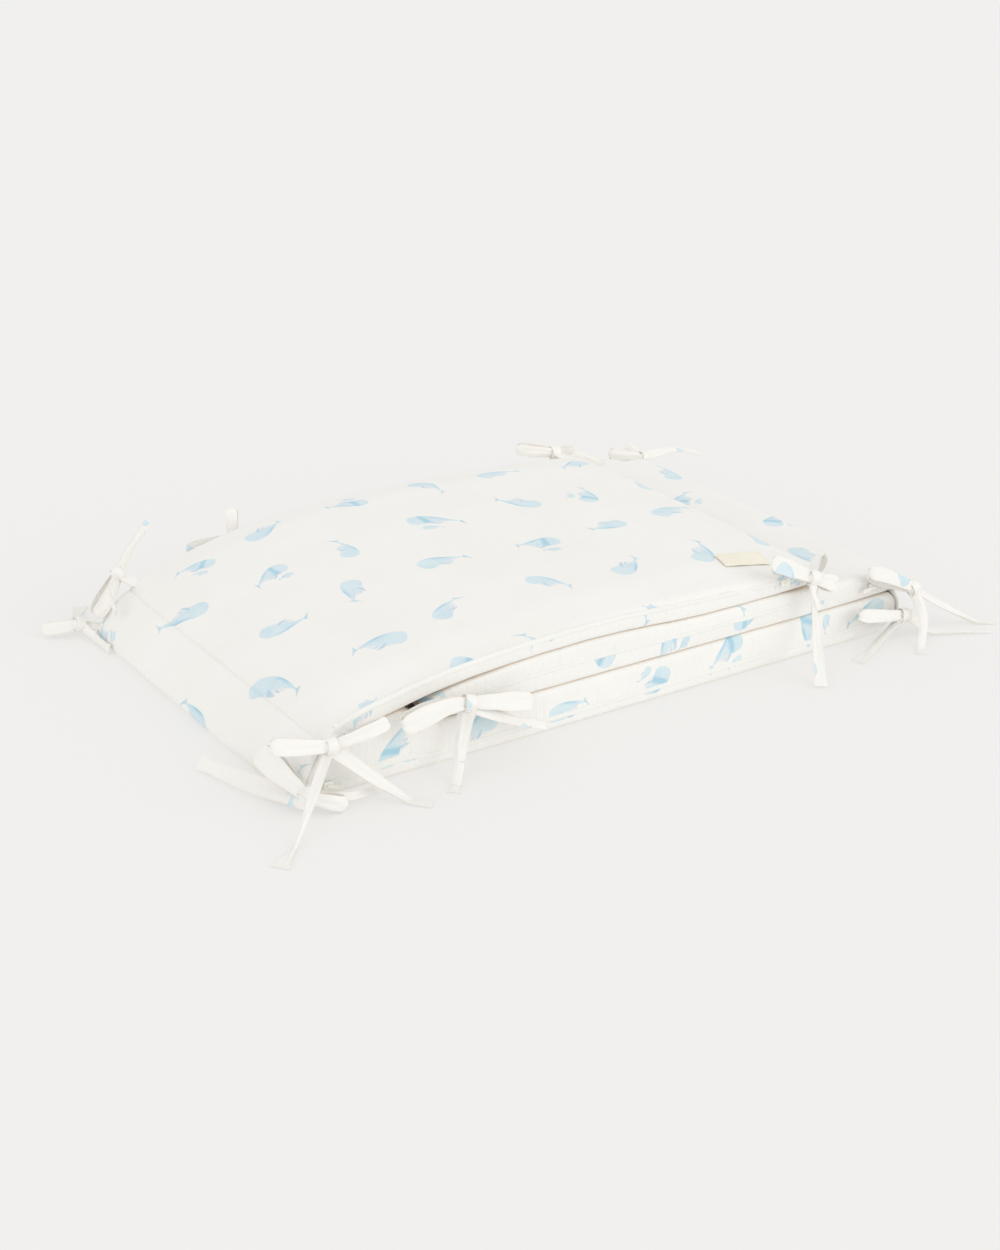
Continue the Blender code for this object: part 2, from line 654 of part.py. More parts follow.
def knot_bmesh(knot):
    bm = bmesh.new()
    bmesh.ops.create_uvsphere(bm, u_segments=8, v_segments=5, radius=0.5)
    bmesh.ops.scale(bm, vec=knotSize, verts=bm.verts)
    bmesh.ops.translate(bm, vec=knot, verts=bm.verts)
    return bm


def root_bmesh(knot, root):
    points = [knot, knot.lerp(root, 0.5), root]
    across = Vector((1.0, 0.0, 0.0))
    return ribbon_bmesh(points, [across] * 3, [rootWidth * rootKnotShare, rootWidth, rootWidth], rootSteps)


def build_tie(row, loops, tails, casing, surface):
    """One bow: knot, loops, tails and the ribbon that is sewn into the casing's seam, as one piece."""
    knot = Vector(row["knot"])
    tie = add_object("tie_" + row["name"], knot_bmesh(knot), surface)
    shapes = [root_bmesh(knot, Vector(row["root"]))]
    shapes += [loop_bmesh(knot, loop) for loop in loops if loop["tie"] == row["name"]]
    shapes += [tail_bmesh(knot, tail) for tail in tails if tail["tie"] == row["name"]]
    for number, shape in enumerate(shapes):
        guide = add_object(f"{row['name']}_guide_{number}", shape, None, helper=True)
        join_to(tie, guide)
    join_to(tie, casing, "DIFFERENCE")


def main():
    clear_scene()
    cloth = material("printed cotton", clothColour, 0.85)
    ribbon = material("cotton ribbon", ribbonColour, 0.85)
    tape = material("zip placket", zipColour, 0.85)
    metal = material("zip slider", metalColour, 0.4, 0.6)
    linen = material("label cloth", labelColour, 0.8)
    add_object("bumper", bumper_bmesh(), cloth)
    zips = {row["pad"]: row for row in rows(zipColumns, zipTable)}
    for name, row in zips.items():
        add_object("zip_" + name, zip_bmesh(row), tape)
    for row in rows(sliderColumns, sliderTable):
        build_slider(row, zips, metal)
    add_object("label", label_bmesh(), linen)
    casing = add_object("casing_guide", bumper_bmesh(clearance), None, helper=True)
    loops = rows(loopColumns, loopTable)
    tails = rows(tailColumns, tailTable)
    for row in rows(tieColumns, tieTable):
        build_tie(row, loops, tails, casing, ribbon)


main()
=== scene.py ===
import math
from functools import partial

import bmesh
import bpy
import numpy as np
from mathutils import Matrix, Vector, noise


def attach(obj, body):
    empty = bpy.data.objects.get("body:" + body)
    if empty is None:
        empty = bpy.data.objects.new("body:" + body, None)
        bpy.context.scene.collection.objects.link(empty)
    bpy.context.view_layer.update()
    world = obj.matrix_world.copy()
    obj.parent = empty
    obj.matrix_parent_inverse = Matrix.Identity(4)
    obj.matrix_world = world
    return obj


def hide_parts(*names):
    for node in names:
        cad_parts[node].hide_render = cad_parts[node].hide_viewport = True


# A crib bumper, folded into three layers: one padded casing, three concealed zips, a blank label and
# twelve bows.
# X runs along the pads, -Y is the edge with the zips, Z is up and z = 0 is the surface that it rests on.
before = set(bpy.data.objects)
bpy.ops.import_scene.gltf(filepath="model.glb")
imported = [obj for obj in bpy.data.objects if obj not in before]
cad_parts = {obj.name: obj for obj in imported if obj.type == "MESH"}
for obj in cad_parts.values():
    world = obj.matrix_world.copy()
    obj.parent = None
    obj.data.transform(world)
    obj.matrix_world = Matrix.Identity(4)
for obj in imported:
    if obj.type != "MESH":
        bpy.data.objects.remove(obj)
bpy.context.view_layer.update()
world = bpy.context.scene.world or bpy.data.worlds.new("studio")
bpy.context.scene.world = world
bpy.context.scene.view_settings.view_transform = "Standard"
print("frame loaded")


def rows(columns, table, defaults=()):
    # one dictionary for each row; a short row ends with the last of the defaults
    made = []
    for row in table:
        missing = len(columns) - len(row)
        made.append(dict(zip(columns, (*row, *defaults[len(defaults) - missing:]))))
    return made


def addObject(name, data):
    made = bpy.data.objects.new(name, data)
    bpy.context.scene.collection.objects.link(made)
    return made


upright = Vector((0.0, 0.0, 1.0))

# The camera looks from where the photo was taken; its three axes are given as they stand in the world.
view = {
    "lens": 56.69,
    "sensor": 36.0,
    "clip": (0.05, 100.0),
    "place": (-0.90232, -1.31601, 0.70578),
    "right": (0.82815, -0.56035, 0.01322),
    "up": (0.21444, 0.33854, 0.91619),
    "back": (-0.51786, -0.75591, 0.40052),
}
studio = {
    "floorSize": 60.0,
    "floorColour": (0.410, 0.405, 0.396),
    "floorGlow": (0.471, 0.467, 0.459),     # so that it looks as bright as in the photo
    "sky": 0.834,
    "skyColour": (1.0, 1.0, 1.0),
}
lampColumns = ("name", "strength", "fromWhere", "angle")
lampTable = (
    ("softKey", 0.68, (0.50, -0.78, 0.42), 50.0),
    ("softFill", 0.58, (-0.90, -0.20, 0.36), 80.0),
)


def addCamera():
    made = addObject("camera", bpy.data.cameras.new("camera"))
    made.data.lens = view["lens"]
    made.data.sensor_width = view["sensor"]
    made.data.sensor_fit = "AUTO"
    made.data.clip_start, made.data.clip_end = view["clip"]
    turn = Matrix((view["right"], view["up"], view["back"])).transposed().to_4x4()
    made.matrix_world = Matrix.Translation(view["place"]) @ turn
    bpy.context.scene.camera = made


def addStudio():
    world.use_nodes = True
    background = world.node_tree.nodes["Background"]
    background.inputs["Color"].default_value = (*studio["skyColour"], 1.0)
    background.inputs["Strength"].default_value = studio["sky"]
    bm = bmesh.new()
    bmesh.ops.create_grid(bm, x_segments=8, y_segments=8, size=studio["floorSize"] / 2)
    mesh = bpy.data.meshes.new("floor")
    bm.to_mesh(mesh)
    bm.free()
    paper = bpy.data.materials.new("paperFloor")
    paper.use_nodes = True
    shader = paper.node_tree.nodes["Principled BSDF"]
    shader.inputs["Base Color"].default_value = (*studio["floorColour"], 1.0)
    shader.inputs["Roughness"].default_value = 1.0
    shader.inputs["Specular IOR Level"].default_value = 0.0
    shader.inputs["Emission Color"].default_value = (*studio["floorGlow"], 1.0)
    shader.inputs["Emission Strength"].default_value = 1.0
    mesh.materials.append(paper)
    floor = addObject("floor", mesh)
    for row in rows(lampColumns, lampTable):
        lamp = bpy.data.lights.new(row["name"], "SUN")
        lamp.energy = row["strength"]
        lamp.angle = math.radians(row["angle"])
        made = addObject(row["name"], lamp)
        made.rotation_mode = "QUATERNION"
        made.rotation_quaternion = Vector(row["fromWhere"]).to_track_quat("Z", "Y")


addCamera()
addStudio()
print("camera, floor and light made")


# The casing: one long cloth in cross section, swept along X and folded back over itself twice.
casing = {
    "halfWidth": 0.1813,          # from the middle to the front or back edge
    "stripThickness": 0.003,      # two cloths together, where there is no filling
    "edgeDepth": 0.012,           # how far in the rounding of the front and back edges starts
    "edgePower": 2.8,
    "pressedPower": 6.0,
    "pressedMore": 0.00050,       # how much farther a pressed side reaches than its table says
    "thinEdge": 0.002,
    "drawIn": 0.004,              # how much narrower it is at its seams
    "joinedDrawIn": 0.10,
    "joinedFrom": 0.25,
    "padStations": 132,
    "evenShare": 0.3,             # the rest of the stations' spacing is closer near the seams
    "hingeStations": 12,          # between two points of a hinge
    "columns": 72,                # across one face
    "edgeSteps": 14,              # round one edge
    "slopeStep": 0.02,            # share of the height over which the edge's slope is measured
    "backShift": (0.011, -0.0075),    # of the back left corner, inward and down
    "backPeak": (-0.277, 0.0490),
    "backReach": 0.170,
    "rise": 0.0052,               # how much lower the top is along its edges
    "edgeDrop": 0.0044,
    "riseReach": 0.045,
    "stripBulge": 0.0036,         # how far the left strip's outer cloth stands out between its seams
    "bulgePower": 0.7,
    "stripLong": 0.060,
    "grooveDeep": 0.0016,         # of the seam between the top and its left strip
    "grooveWide": 0.0022,
    "gatherFrom": 0.003,          # small folds run out from a seam, from here on
    "gatherReach": 0.016,
    "gatherDrawn": 0.35,
    "edgeApart": 0.3,             # the two edges' waves differ
    "endFrom": 0.292,             # the bottom pad's right end, where light comes in
    "bareFrom": 0.208,            # the middle pad's upper face is open to view from here on
    "swellEnd": -0.150,           # the bottom pad's filling rises up to here
    "swellStart": 0.0025,
    "swellMoved": 0.003,
    # height of the left strip's lower side
    "stripUnder": (
        (-0.297, 0.0150), (-0.2955, 0.0180), (-0.288, 0.0318), (-0.2812, 0.0420), (-0.277, 0.0455),
    ),
    # height of the bottom pad's upper side at its right end
    "rightSwell": (
        (0.255, 0.0362), (0.285, 0.0372), (0.294, 0.0370), (0.2978, 0.0350), (0.3004, 0.0315),
        (0.3015, 0.0275), (0.302, 0.0180),
    ),
    # gap left between the bottom pad and the cloth above it
    "swellGap": (
        (-0.297, 0.0003), (-0.277, 0.0006), (-0.240, 0.0014), (-0.220, 0.0018), (-0.208, 0.0045),
        (-0.197, 0.0145), (-0.189, 0.0225), (-0.180, 0.0258), (-0.168, 0.0280), (-0.150, 0.0330),
    ),
    "seamDeep": 0.0007,           # of the seam along the back edge
    "seamWide": 0.10,
    "innerShift": (0.370, 0.230),     # the inner cloth is cut from another place of the print
    # how strongly the cloth puckers, and how far that reaches from the front edge and from a seam
    "pucker": 0.10,
    "frontPucker": 0.75,
    "frontAt": 0.172,
    "frontReach": 0.010,
    "seamPucker": 0.35,
    "seamReach": 0.012,
    # how high up a pressed side its painted brownish shade begins, and the same for the bottom pad's upper side
    "shadeFrom": 0.94,
    "shadeFromBottom": 0.90,
}
# Height of each soft wave in the cloth, its length and its seed.
waves = {
    "edge": (0.00035, 0.040, 5),
    "gather": (0.0009, 0.026, 11),
    "soft": (0.00032, 0.11, 2),
    "fine": (0.00014, 0.042, 3),
    "strip": (0.00032, 0.09, 7),
}
waveMake = {"count": 7, "turn": 6.28, "stretch": (0.6, 1.5), "total": 3.5}
padColumns = (
    "name", "firstX", "firstZ", "firstNose", "firstPower", "lastX", "lastZ", "lastNose", "lastPower", "outer",
    "crown",
)
padTable = (
    ("top", 0.215, 0.0725, 0.040, 2.2, -0.2802, 0.0458, 0.044, 1.75, 1, 0.003),
    ("bottom", -0.297, 0.0017, 0.056, 1.7, 0.302, 0.0165, 0.028, 1.7, -1, 0.0),
    ("middle", 0.303, 0.0500, 0.020, 2.2, -0.1890, 0.0490, 0.032, 2.4, 1, 0.0),
)
pads = {pad["name"]: pad for pad in rows(padColumns, padTable)}
# Height of a pad's lower face and its thickness, at places along X.
layTables = {
    "top": (
        (-0.277, 0.0470, 0.0165), (-0.232, 0.0526, 0.0180), (-0.197, 0.0596, 0.0180), (-0.160, 0.0650, 0.0178),
        (-0.095, 0.0695, 0.0188), (-0.020, 0.0707, 0.0205), (0.070, 0.0658, 0.0243), (0.150, 0.0654, 0.0215),
        (0.190, 0.0668, 0.0160), (0.215, 0.0675, 0.0110),
    ),
    "bottom": ((-0.297, 0.0, 0.0369), (0.302, 0.0, 0.0369)),
    "middle": (
        (-0.189, 0.0384, 0.0205), (-0.165, 0.0380, 0.0235), (-0.140, 0.0380, 0.0262), (-0.095, 0.0380, 0.0300),
        (-0.020, 0.0380, 0.0314), (0.070, 0.0380, 0.0266), (0.160, 0.0380, 0.0260), (0.230, 0.0383, 0.0225),
        (0.303, 0.0398, 0.0190),
    ),
}
# Where the strips run between two pads.
leftHinge = ((-0.2880, 0.0345), (-0.2955, 0.0200), (-0.3008, 0.0075), (-0.3000, 0.0030))
rightHinge = (
    (0.3043, 0.0168), (0.3058, 0.0205), (0.3045, 0.0280), (0.3010, 0.0345), (0.2995, 0.0375),
    (0.3012, 0.0405), (0.3055, 0.0440), (0.3068, 0.0480), (0.3055, 0.0500),
)


def smooth(t):
    return t * t * (3 - 2 * t)


def easeBetween(table, x):
    # a smooth curve through the rows of a table, at x
    places = [row[0] for row in table]
    slopes = []
    for index in range(len(table)):
        low, high = max(index - 1, 0), min(index + 1, len(table) - 1)
        run = places[high] - places[low]
        slopes.append([(b - a) / run for a, b in zip(table[low][1:], table[high][1:])])
    x = min(max(x, places[0]), places[-1])
    index = 0
    while index < len(places) - 2 and x > places[index + 1]:
        index += 1
    run = places[index + 1] - places[index]
    t = (x - places[index]) / run
    mix = ((1 + 2 * t) * (1 - t) ** 2, t * (1 - t) ** 2 * run, t * t * (3 - 2 * t), t * t * (t - 1) * run)
    ends = zip(table[index][1:], slopes[index], table[index + 1][1:], slopes[index + 1])
    return [mix[0] * a + mix[1] * sa + mix[2] * b + mix[3] * sb for a, sa, b, sb in ends]


def fullness(distance, nose, power):
    # a pad's share of its full thickness, at a distance from its seam
    if distance >= nose:
        return 1.0
    return (1.0 - (1.0 - max(distance, 0.0) / nose) ** power) ** (1.0 / power)


def padSection(name, x):
    # height of a pad's middle, its thickness and how full it is
    pad = pads[name]
    under, thick = easeBetween(layTables[name], x)
    nearFirst = fullness(abs(x - pad["firstX"]), pad["firstNose"], pad["firstPower"])
    nearLast = fullness(abs(x - pad["lastX"]), pad["lastNose"], pad["lastPower"])
    full = min(nearFirst, nearLast)
    seamZ = pad["firstZ"] if nearFirst < nearLast else pad["lastZ"]
    middle = (1.0 - full) * seamZ + full * (under + thick / 2)
    strip = casing["stripThickness"]
    return middle, strip + (thick - strip) * full, full


def padStations(name):
    # each station: x, z, the way across in x and z, thickness, fullness, crown, name and share of the way along
    pad = pads[name]
    made = []
    for step in range(casing["padStations"] + 1):
        even = step / casing["padStations"]
        along = casing["evenShare"] * even
        along += (1.0 - casing["evenShare"]) * (0.5 - 0.5 * math.cos(math.pi * even))
        x = pad["firstX"] + (pad["lastX"] - pad["firstX"]) * along
        middle, thick, full = padSection(name, x)
        made.append((x, middle, 0.0, float(pad["outer"]), thick, full, pad["crown"] * full, name, even))
    return made


def curvePoint(points, index, t):
    p0, p1 = points[max(index - 1, 0)], points[index]
    p2, p3 = points[index + 1], points[min(index + 2, len(points) - 1)]
    bend = 2 * p0 - 5 * p1 + 4 * p2 - p3
    twist = 3 * p1 - p0 - 3 * p2 + p3
    return 0.5 * (2 * p1 + (p2 - p0) * t + bend * t**2 + twist * t**3)


def hingeStations(before, hinge, after, name):
    start = np.array((pads[before]["lastX"], pads[before]["lastZ"]))
    end = np.array((pads[after]["firstX"], pads[after]["firstZ"]))
    points = [start, *[np.array(point) for point in hinge], end]
    steps = casing["hingeStations"]
    line = []
    for index in range(len(points) - 1):
        line += [curvePoint(points, index, step / steps) for step in range(steps)]
    line.append(end)
    made = []
    for index in range(1, len(line) - 1):
        run = line[index + 1] - line[index - 1]
        run /= np.hypot(*run)
        share = index / (len(line) - 1)
        made.append((*line[index], run[1], -run[0], casing["stripThickness"], 0.0, 0.0, name, share))
    return made


def edgePower(name, height):
    # the side a pad leans on is squarer than its free side
    pressed = name in ("middle", "bottom") or (name == "top" and height < 0.0)
    return casing["pressedPower"] if pressed else casing["edgePower"]


def edgeBulge(name, height):
    power = edgePower(name, height)
    return (1.0 - min(abs(height), 1.0) ** power) ** (1.0 / power)


def roundingDepth(thick):
    return min(casing["edgeDepth"], thick / 2 + casing["thinEdge"])


def halfReach(name, x, full):
    # a pad is narrower at its seams, but barely so where a strip joins it to the next one
    joined = x > casing["joinedFrom"] or (x < 0.0 and name != "middle")
    share = casing["joinedDrawIn"] if joined else 1.0
    return casing["halfWidth"] - casing["drawIn"] * share * (1.0 - full)


def sectionOutline(name):
    # round a cross section: share across the face, share across the rounded edge, height from -1 to 1
    flat = [2 * step / casing["columns"] - 1 for step in range(casing["columns"] + 1)]
    turn = []
    for step in range(1, casing["edgeSteps"]):
        angle = math.pi / 2 - math.pi * step / casing["edgeSteps"]
        height = math.copysign(abs(math.sin(angle)) ** (2 / edgePower(name, angle)), angle)
        turn.append((edgeBulge(name, height), height))
    outline = [(share, 0.0, 1.0) for share in flat]
    outline += [(1.0, reach, height) for reach, height in turn]
    outline += [(share, 0.0, -1.0) for share in reversed(flat)]
    outline += [(-1.0, -reach, height) for reach, height in reversed(turn)]
    return np.array(outline)


def backSag(x, z, y):
    # at the back left corner the top and its strip sink and move in
    peakX, peakZ = casing["backPeak"]
    near = np.maximum(0.0, 1.0 - np.abs(x - peakX) / casing["backReach"])
    lifted = np.clip(z / peakZ, 0.0, 1.0)
    share = smooth(near) * lifted * (0.5 + 0.5 * y / casing["halfWidth"])
    return casing["backShift"][0] * share * near**4, casing["backShift"][1] * share


def wave(name, u, v):
    # a soft unevenness, from waves that cross at many angles
    height, size, seed = waves[name]
    draw = np.random.RandomState(seed)
    turn = waveMake["turn"]
    spans = ((0, math.pi), (0, turn), waveMake["stretch"])
    total = 0.0
    for angle, phase, stretch in zip(*[draw.uniform(*span, waveMake["count"]) for span in spans]):
        total = total + np.sin((u * math.cos(angle) + v * math.sin(angle)) * turn / (size * stretch) + phase)
    return height * total / waveMake["total"]


def swelling(name, x, y):
    # the bottom pad's filling rises where nothing presses on it, up to the cloth above
    if name != "bottom":
        return 0.0 * y
    middle, thick = padSection("bottom", x)[:2]
    if x > casing["swellEnd"]:
        return 0.0 * y + max(0.0, float(np.interp(x, *zip(*casing["rightSwell"]))) - (middle + thick / 2))
    if x > pads["top"]["lastX"]:
        topMiddle, topThick = padSection("top", x)[:2]
        ceiling = topMiddle - topThick / 2
    else:
        ceiling = float(np.interp(x, *zip(*casing["stripUnder"])))
    ceiling = ceiling + backSag(x, ceiling, y)[1]
    room = ceiling - easeBetween(casing["swellGap"], x)[0] - (middle + thick / 2)
    start = min(max((x - pads["bottom"]["firstX"]) / casing["swellStart"], 0.0), 1.0)
    moved = np.clip(1.0 - backSag(x, ceiling, y)[0] / casing["swellMoved"], 0.0, 1.0)
    return np.maximum(room, 0.0) * smooth(start) * moved


def seamDistance(x, name):
    pad = pads[name]
    return min(abs(x - pad["firstX"]), abs(x - pad["lastX"]))


def sectionRing(station, outline, along, sags):
    # the cloth round one station, as points
    x, z, acrossX, acrossZ, thick, full, rise, name, share = station
    depth = roundingDepth(thick)
    reach = halfReach(name, x, full)
    flat, edge, height = outline.T
    atEdge = np.abs(edge)
    seam = casing["seamDeep"] * np.where(edge > 0.0, np.exp(-((height / casing["seamWide"]) ** 2)), 0.0)
    uneven = wave("edge", along, np.sign(edge) * casing["edgeApart"]) * atEdge - seam
    y = flat * (reach - depth) + edge * depth + np.sign(edge) * uneven * atEdge
    inward = smooth(np.clip((casing["halfWidth"] - np.abs(y)) / casing["riseReach"], 0.0, 1.0))
    offset = height * thick / 2 + np.where(height == 1.0, rise * (1.0 - (y / casing["halfWidth"]) ** 2), 0.0)
    outer = np.where(height > 0.0, height, 0.0)
    if name in pads:
        offset = offset - casing["pressedMore"] * full * np.maximum(-height, 0.0)
    if name == "middle":
        offset = offset + casing["pressedMore"] * full * outer
    if name == "top":
        near = seamDistance(x, name)
        gather = math.exp(-near / casing["gatherReach"]) * (1.0 - math.exp(-near / casing["gatherFrom"]))
        offset = offset + outer * full * full * (casing["rise"] * inward - casing["edgeDrop"])
        offset = offset + outer * gather * wave("gather", y, along * casing["gatherDrawn"])
        offset = offset + outer * full * (wave("soft", along, y) + wave("fine", along, y))
    if name == "top" and x < 0.0 or name == "leftHinge":
        fromSeam = min(seamDistance(x, "top"), 1.0) if name == "top" else share * casing["stripLong"]
        offset = offset - outer * casing["grooveDeep"] * math.exp(-((fromSeam / casing["grooveWide"]) ** 2))
    if name == "bottom":
        offset = offset - swelling(name, x, y) * (1.0 - height) / 2
    if name == "leftHinge":
        swell = math.sin(math.pi * share)
        offset = offset + outer * casing["stripBulge"] * swell ** casing["bulgePower"]
        offset = offset + outer * swell**2 * wave("strip", along, y)
    shiftX, shiftZ = backSag(x, z, y) if sags else (0.0, 0.0)
    return np.stack((x + acrossX * offset + shiftX, y, z + acrossZ * offset + shiftZ), 1)


def frontFace(name, x, height, stand):
    # a point that stands off a pad's front face, and the way the face looks there
    middle, thick, full = padSection(name, x)
    reach = halfReach(name, x, full)
    depth = roundingDepth(thick)
    step = casing["slopeStep"] * pads[name]["outer"]
    inPad = height * pads[name]["outer"]
    y = -(reach - depth) - depth * edgeBulge(name, inPad)
    shrink = depth * (edgeBulge(name, inPad - step) - edgeBulge(name, inPad + step))
    outward = Vector((0.0, -thick * abs(step), shrink)).normalized()
    shiftX, shiftZ = backSag(x, middle, y) if name == "top" else (0.0, 0.0)
    shiftZ += float(swelling(name, x, y)) * (1.0 + height) / 2
    return Vector((x + shiftX, y, middle + height * thick / 2 + shiftZ)) + outward * stand, outward


def topHeight(x, y):
    # just above the upper face of the top pad
    middle, thick, full = padSection("top", x)
    rise = pads["top"]["crown"] * full * (1.0 - (y / casing["halfWidth"]) ** 2)
    inward = smooth(min(max((casing["halfWidth"] - abs(y)) / casing["riseReach"], 0.0), 1.0))
    rise += (inward * casing["rise"] - casing["edgeDrop"]) * full * full
    return middle + thick / 2 + rise + waves["soft"][0] + float(backSag(x, middle, y)[1])


def gridOver(rings):
    # a grid laid over rings of points; its verts come back ring by ring
    count = len(rings)
    wide = len(rings[0]) + 1
    bm = bmesh.new()
    bm.verts.layers.float.new("pucker")
    # fold holds how much painted brownish shade a vert gets
    bm.verts.layers.float.new("fold")
    bmesh.ops.create_grid(bm, x_segments=count - 1, y_segments=wide - 1, size=0.5)
    table = [[None] * wide for ring in rings]
    for vert in bm.verts:
        along = round((vert.co.x + 0.5) * (count - 1))
        across = round((vert.co.y + 0.5) * (wide - 1))
        table[along][across] = vert
    for ring, verts in zip(rings, table):
        for place, vert in enumerate(verts):
            vert.co = ring[place % len(ring)]
    return bm, table


def clothMap(bm, table, us, vs, shift=None):
    # the cloth's own map, in metres along and across it
    layer = bm.loops.layers.uv.new("cloth")
    place = {}
    for verts, u, ringVs in zip(table, us, vs):
        place.update({vert: (u, v) for vert, v in zip(verts, ringVs)})
    for face in bm.faces:
        moveU, moveV = shift(face) if shift else (0.0, 0.0)
        for loop in face.loops:
            u, v = place[loop.vert]
            loop[layer].uv = (u + moveU, v + moveV)


def sewShut(bm, table):
    # joins each ring's first and last vert, and closes the two ends
    joined = [verts[0] for verts in table] + [verts[-1] for verts in table]
    bmesh.ops.remove_doubles(bm, verts=joined, dist=1e-6)
    bmesh.ops.holes_fill(bm, edges=[edge for edge in bm.edges if edge.is_boundary], sides=0)
    bmesh.ops.recalc_face_normals(bm, faces=bm.faces)


def addPiece(name, bm, surface, angle=60.0):
    mesh = bpy.data.meshes.new(name)
    bm.to_mesh(mesh)
    bm.free()
    mesh.materials.append(surface)
    mesh.shade_smooth()
    mesh.set_sharp_from_angle(angle=math.radians(angle))
    return addObject(name, mesh)


# Shader nodes: short names for what the node trees below are made of.
def feed(socket, value):
    # a socket is linked; a number or a colour is put in as it is
    if isinstance(value, bpy.types.NodeSocket):
        socket.id_data.links.new(value, socket)
    else:
        socket.default_value = (*value, 1.0) if isinstance(value, tuple) else value


def addNode(kind, *values):
    # a node in the same tree as the sockets among the values
    tree = next(value.id_data for value in values if isinstance(value, bpy.types.NodeSocket))
    return tree.nodes.new("ShaderNode" + kind)


def calc(operation, *values, clamp=False):
    node = addNode("Math", *values)
    node.operation = operation
    node.use_clamp = clamp
    for socket, value in zip(node.inputs, values):
        feed(socket, value)
    return node.outputs[0]


plus, minus, times, over = (partial(calc, name) for name in ("ADD", "SUBTRACT", "MULTIPLY", "DIVIDE"))
larger, smaller, timesPlus = (partial(calc, name) for name in ("MAXIMUM", "MINIMUM", "MULTIPLY_ADD"))


def fadeBetween(value, low, high):
    # from 0 at low to 1 at high, softly
    node = addNode("MapRange", value)
    node.interpolation_type = "SMOOTHSTEP"
    for name, given in (("Value", value), ("From Min", low), ("From Max", high)):
        feed(node.inputs[name], given)
    return node.outputs["Result"]


def drawnCurve(value, points):
    node = addNode("FloatCurve", value)
    curve = node.mapping.curves[0]
    curve.points[0].location, curve.points[1].location = points[0], points[-1]
    for point in points[1:-1]:
        curve.points.new(*point)
    node.mapping.update()
    feed(node.inputs["Value"], value)
    return node.outputs["Value"]


def mixColours(share, first, second):
    node = addNode("Mix", share)
    node.data_type = "RGBA"
    for name, value in (("Factor", share), ("A", first), ("B", second)):
        feed(node.inputs[name], value)
    return node.outputs[2]


def placeOf(x, y, z=0.0):
    node = addNode("CombineXYZ", x, y)
    for socket, value in zip(node.inputs, (x, y, z)):
        feed(socket, value)
    return node.outputs[0]


def partsOf(vector):
    # its first two parts
    node = addNode("SeparateXYZ", vector)
    feed(node.inputs[0], vector)
    return node.outputs[:2]


def softNoise(vector, scale, detail=2.0, rough=0.5):
    node = addNode("TexNoise", vector)
    for name, value in (("Vector", vector), ("Scale", scale), ("Detail", detail), ("Roughness", rough)):
        feed(node.inputs[name], value)
    return node.outputs["Fac"]


def newGroup(name, inputs, outputs):
    # each input has a kind; each output is a number
    tree = bpy.data.node_groups.new(name, "ShaderNodeTree")
    for label, kind in inputs.items():
        tree.interface.new_socket(name=label, in_out="INPUT", socket_type="NodeSocket" + kind)
    for label in outputs:
        tree.interface.new_socket(name=label, in_out="OUTPUT", socket_type="NodeSocketFloat")
    return tree, tree.nodes.new("NodeGroupInput").outputs, tree.nodes.new("NodeGroupOutput").inputs


def useGroup(group, values):
    node = addNode("Group", *values.values())
    node.node_tree = group
    for name, value in values.items():
        feed(node.inputs[name], value)
    return node.outputs


# A motif of the print, drawn from its head at X = 0 to its flukes at X = 1.
whale = {
    "back": (
        (0.0, 0.50), (0.015, 0.60), (0.06, 0.68), (0.17, 0.73), (0.34, 0.72), (0.50, 0.675), (0.66, 0.61),
        (0.80, 0.56), (0.92, 0.53), (1.0, 0.525),
    ),
    "belly": (
        (0.0, 0.50), (0.015, 0.41), (0.06, 0.335), (0.17, 0.285), (0.34, 0.30), (0.50, 0.35), (0.66, 0.405),
        (0.80, 0.44), (0.92, 0.47), (1.0, 0.475),
    ),
    "tall": 1.06,
    "end": 0.985,
    "soft": 0.012,
    "bendFrom": 0.30,
    "flukeStart": 0.90,
    "flukeNear": 0.50,
    "flukeFar": 0.06,
    "flukeDeep": 0.085,
    # middle, turn, half length and half width of each leaf
    "flipper": (0.44, 0.275, 0.80, 0.120, 0.040),
    "farFlipper": (0.56, 0.235, 0.55, 0.060, 0.026),
    "farShare": 0.8,
    "pale": (0.40, 0.165, 0.10, 0.33, 0.130),
    "leafBend": 0.9,
    "leafFade": (1.12, 0.82),
    "waist": 0.60,                # where the pigment is deepest, and how far it reaches
    "waistReach": 0.30,
    "waistAcross": 0.15,
}
whaleMasks = ("Body", "Dark", "Pale", "Edge")


def leafMask(x, y, shape):
    middleX, middleY, turn, halfLong, halfWide = shape
    dx, dy = minus(x, middleX), minus(y, middleY)
    cos, sin = math.cos(turn), math.sin(turn)
    along = plus(times(dx, cos / halfLong), times(dy, sin / halfLong))
    across = plus(times(dx, -sin / halfWide), times(dy, cos / halfWide))
    square = times(along, along)
    bent = plus(across, times(square, whale["leafBend"]))
    return fadeBetween(plus(square, times(bent, bent)), *whale["leafFade"])


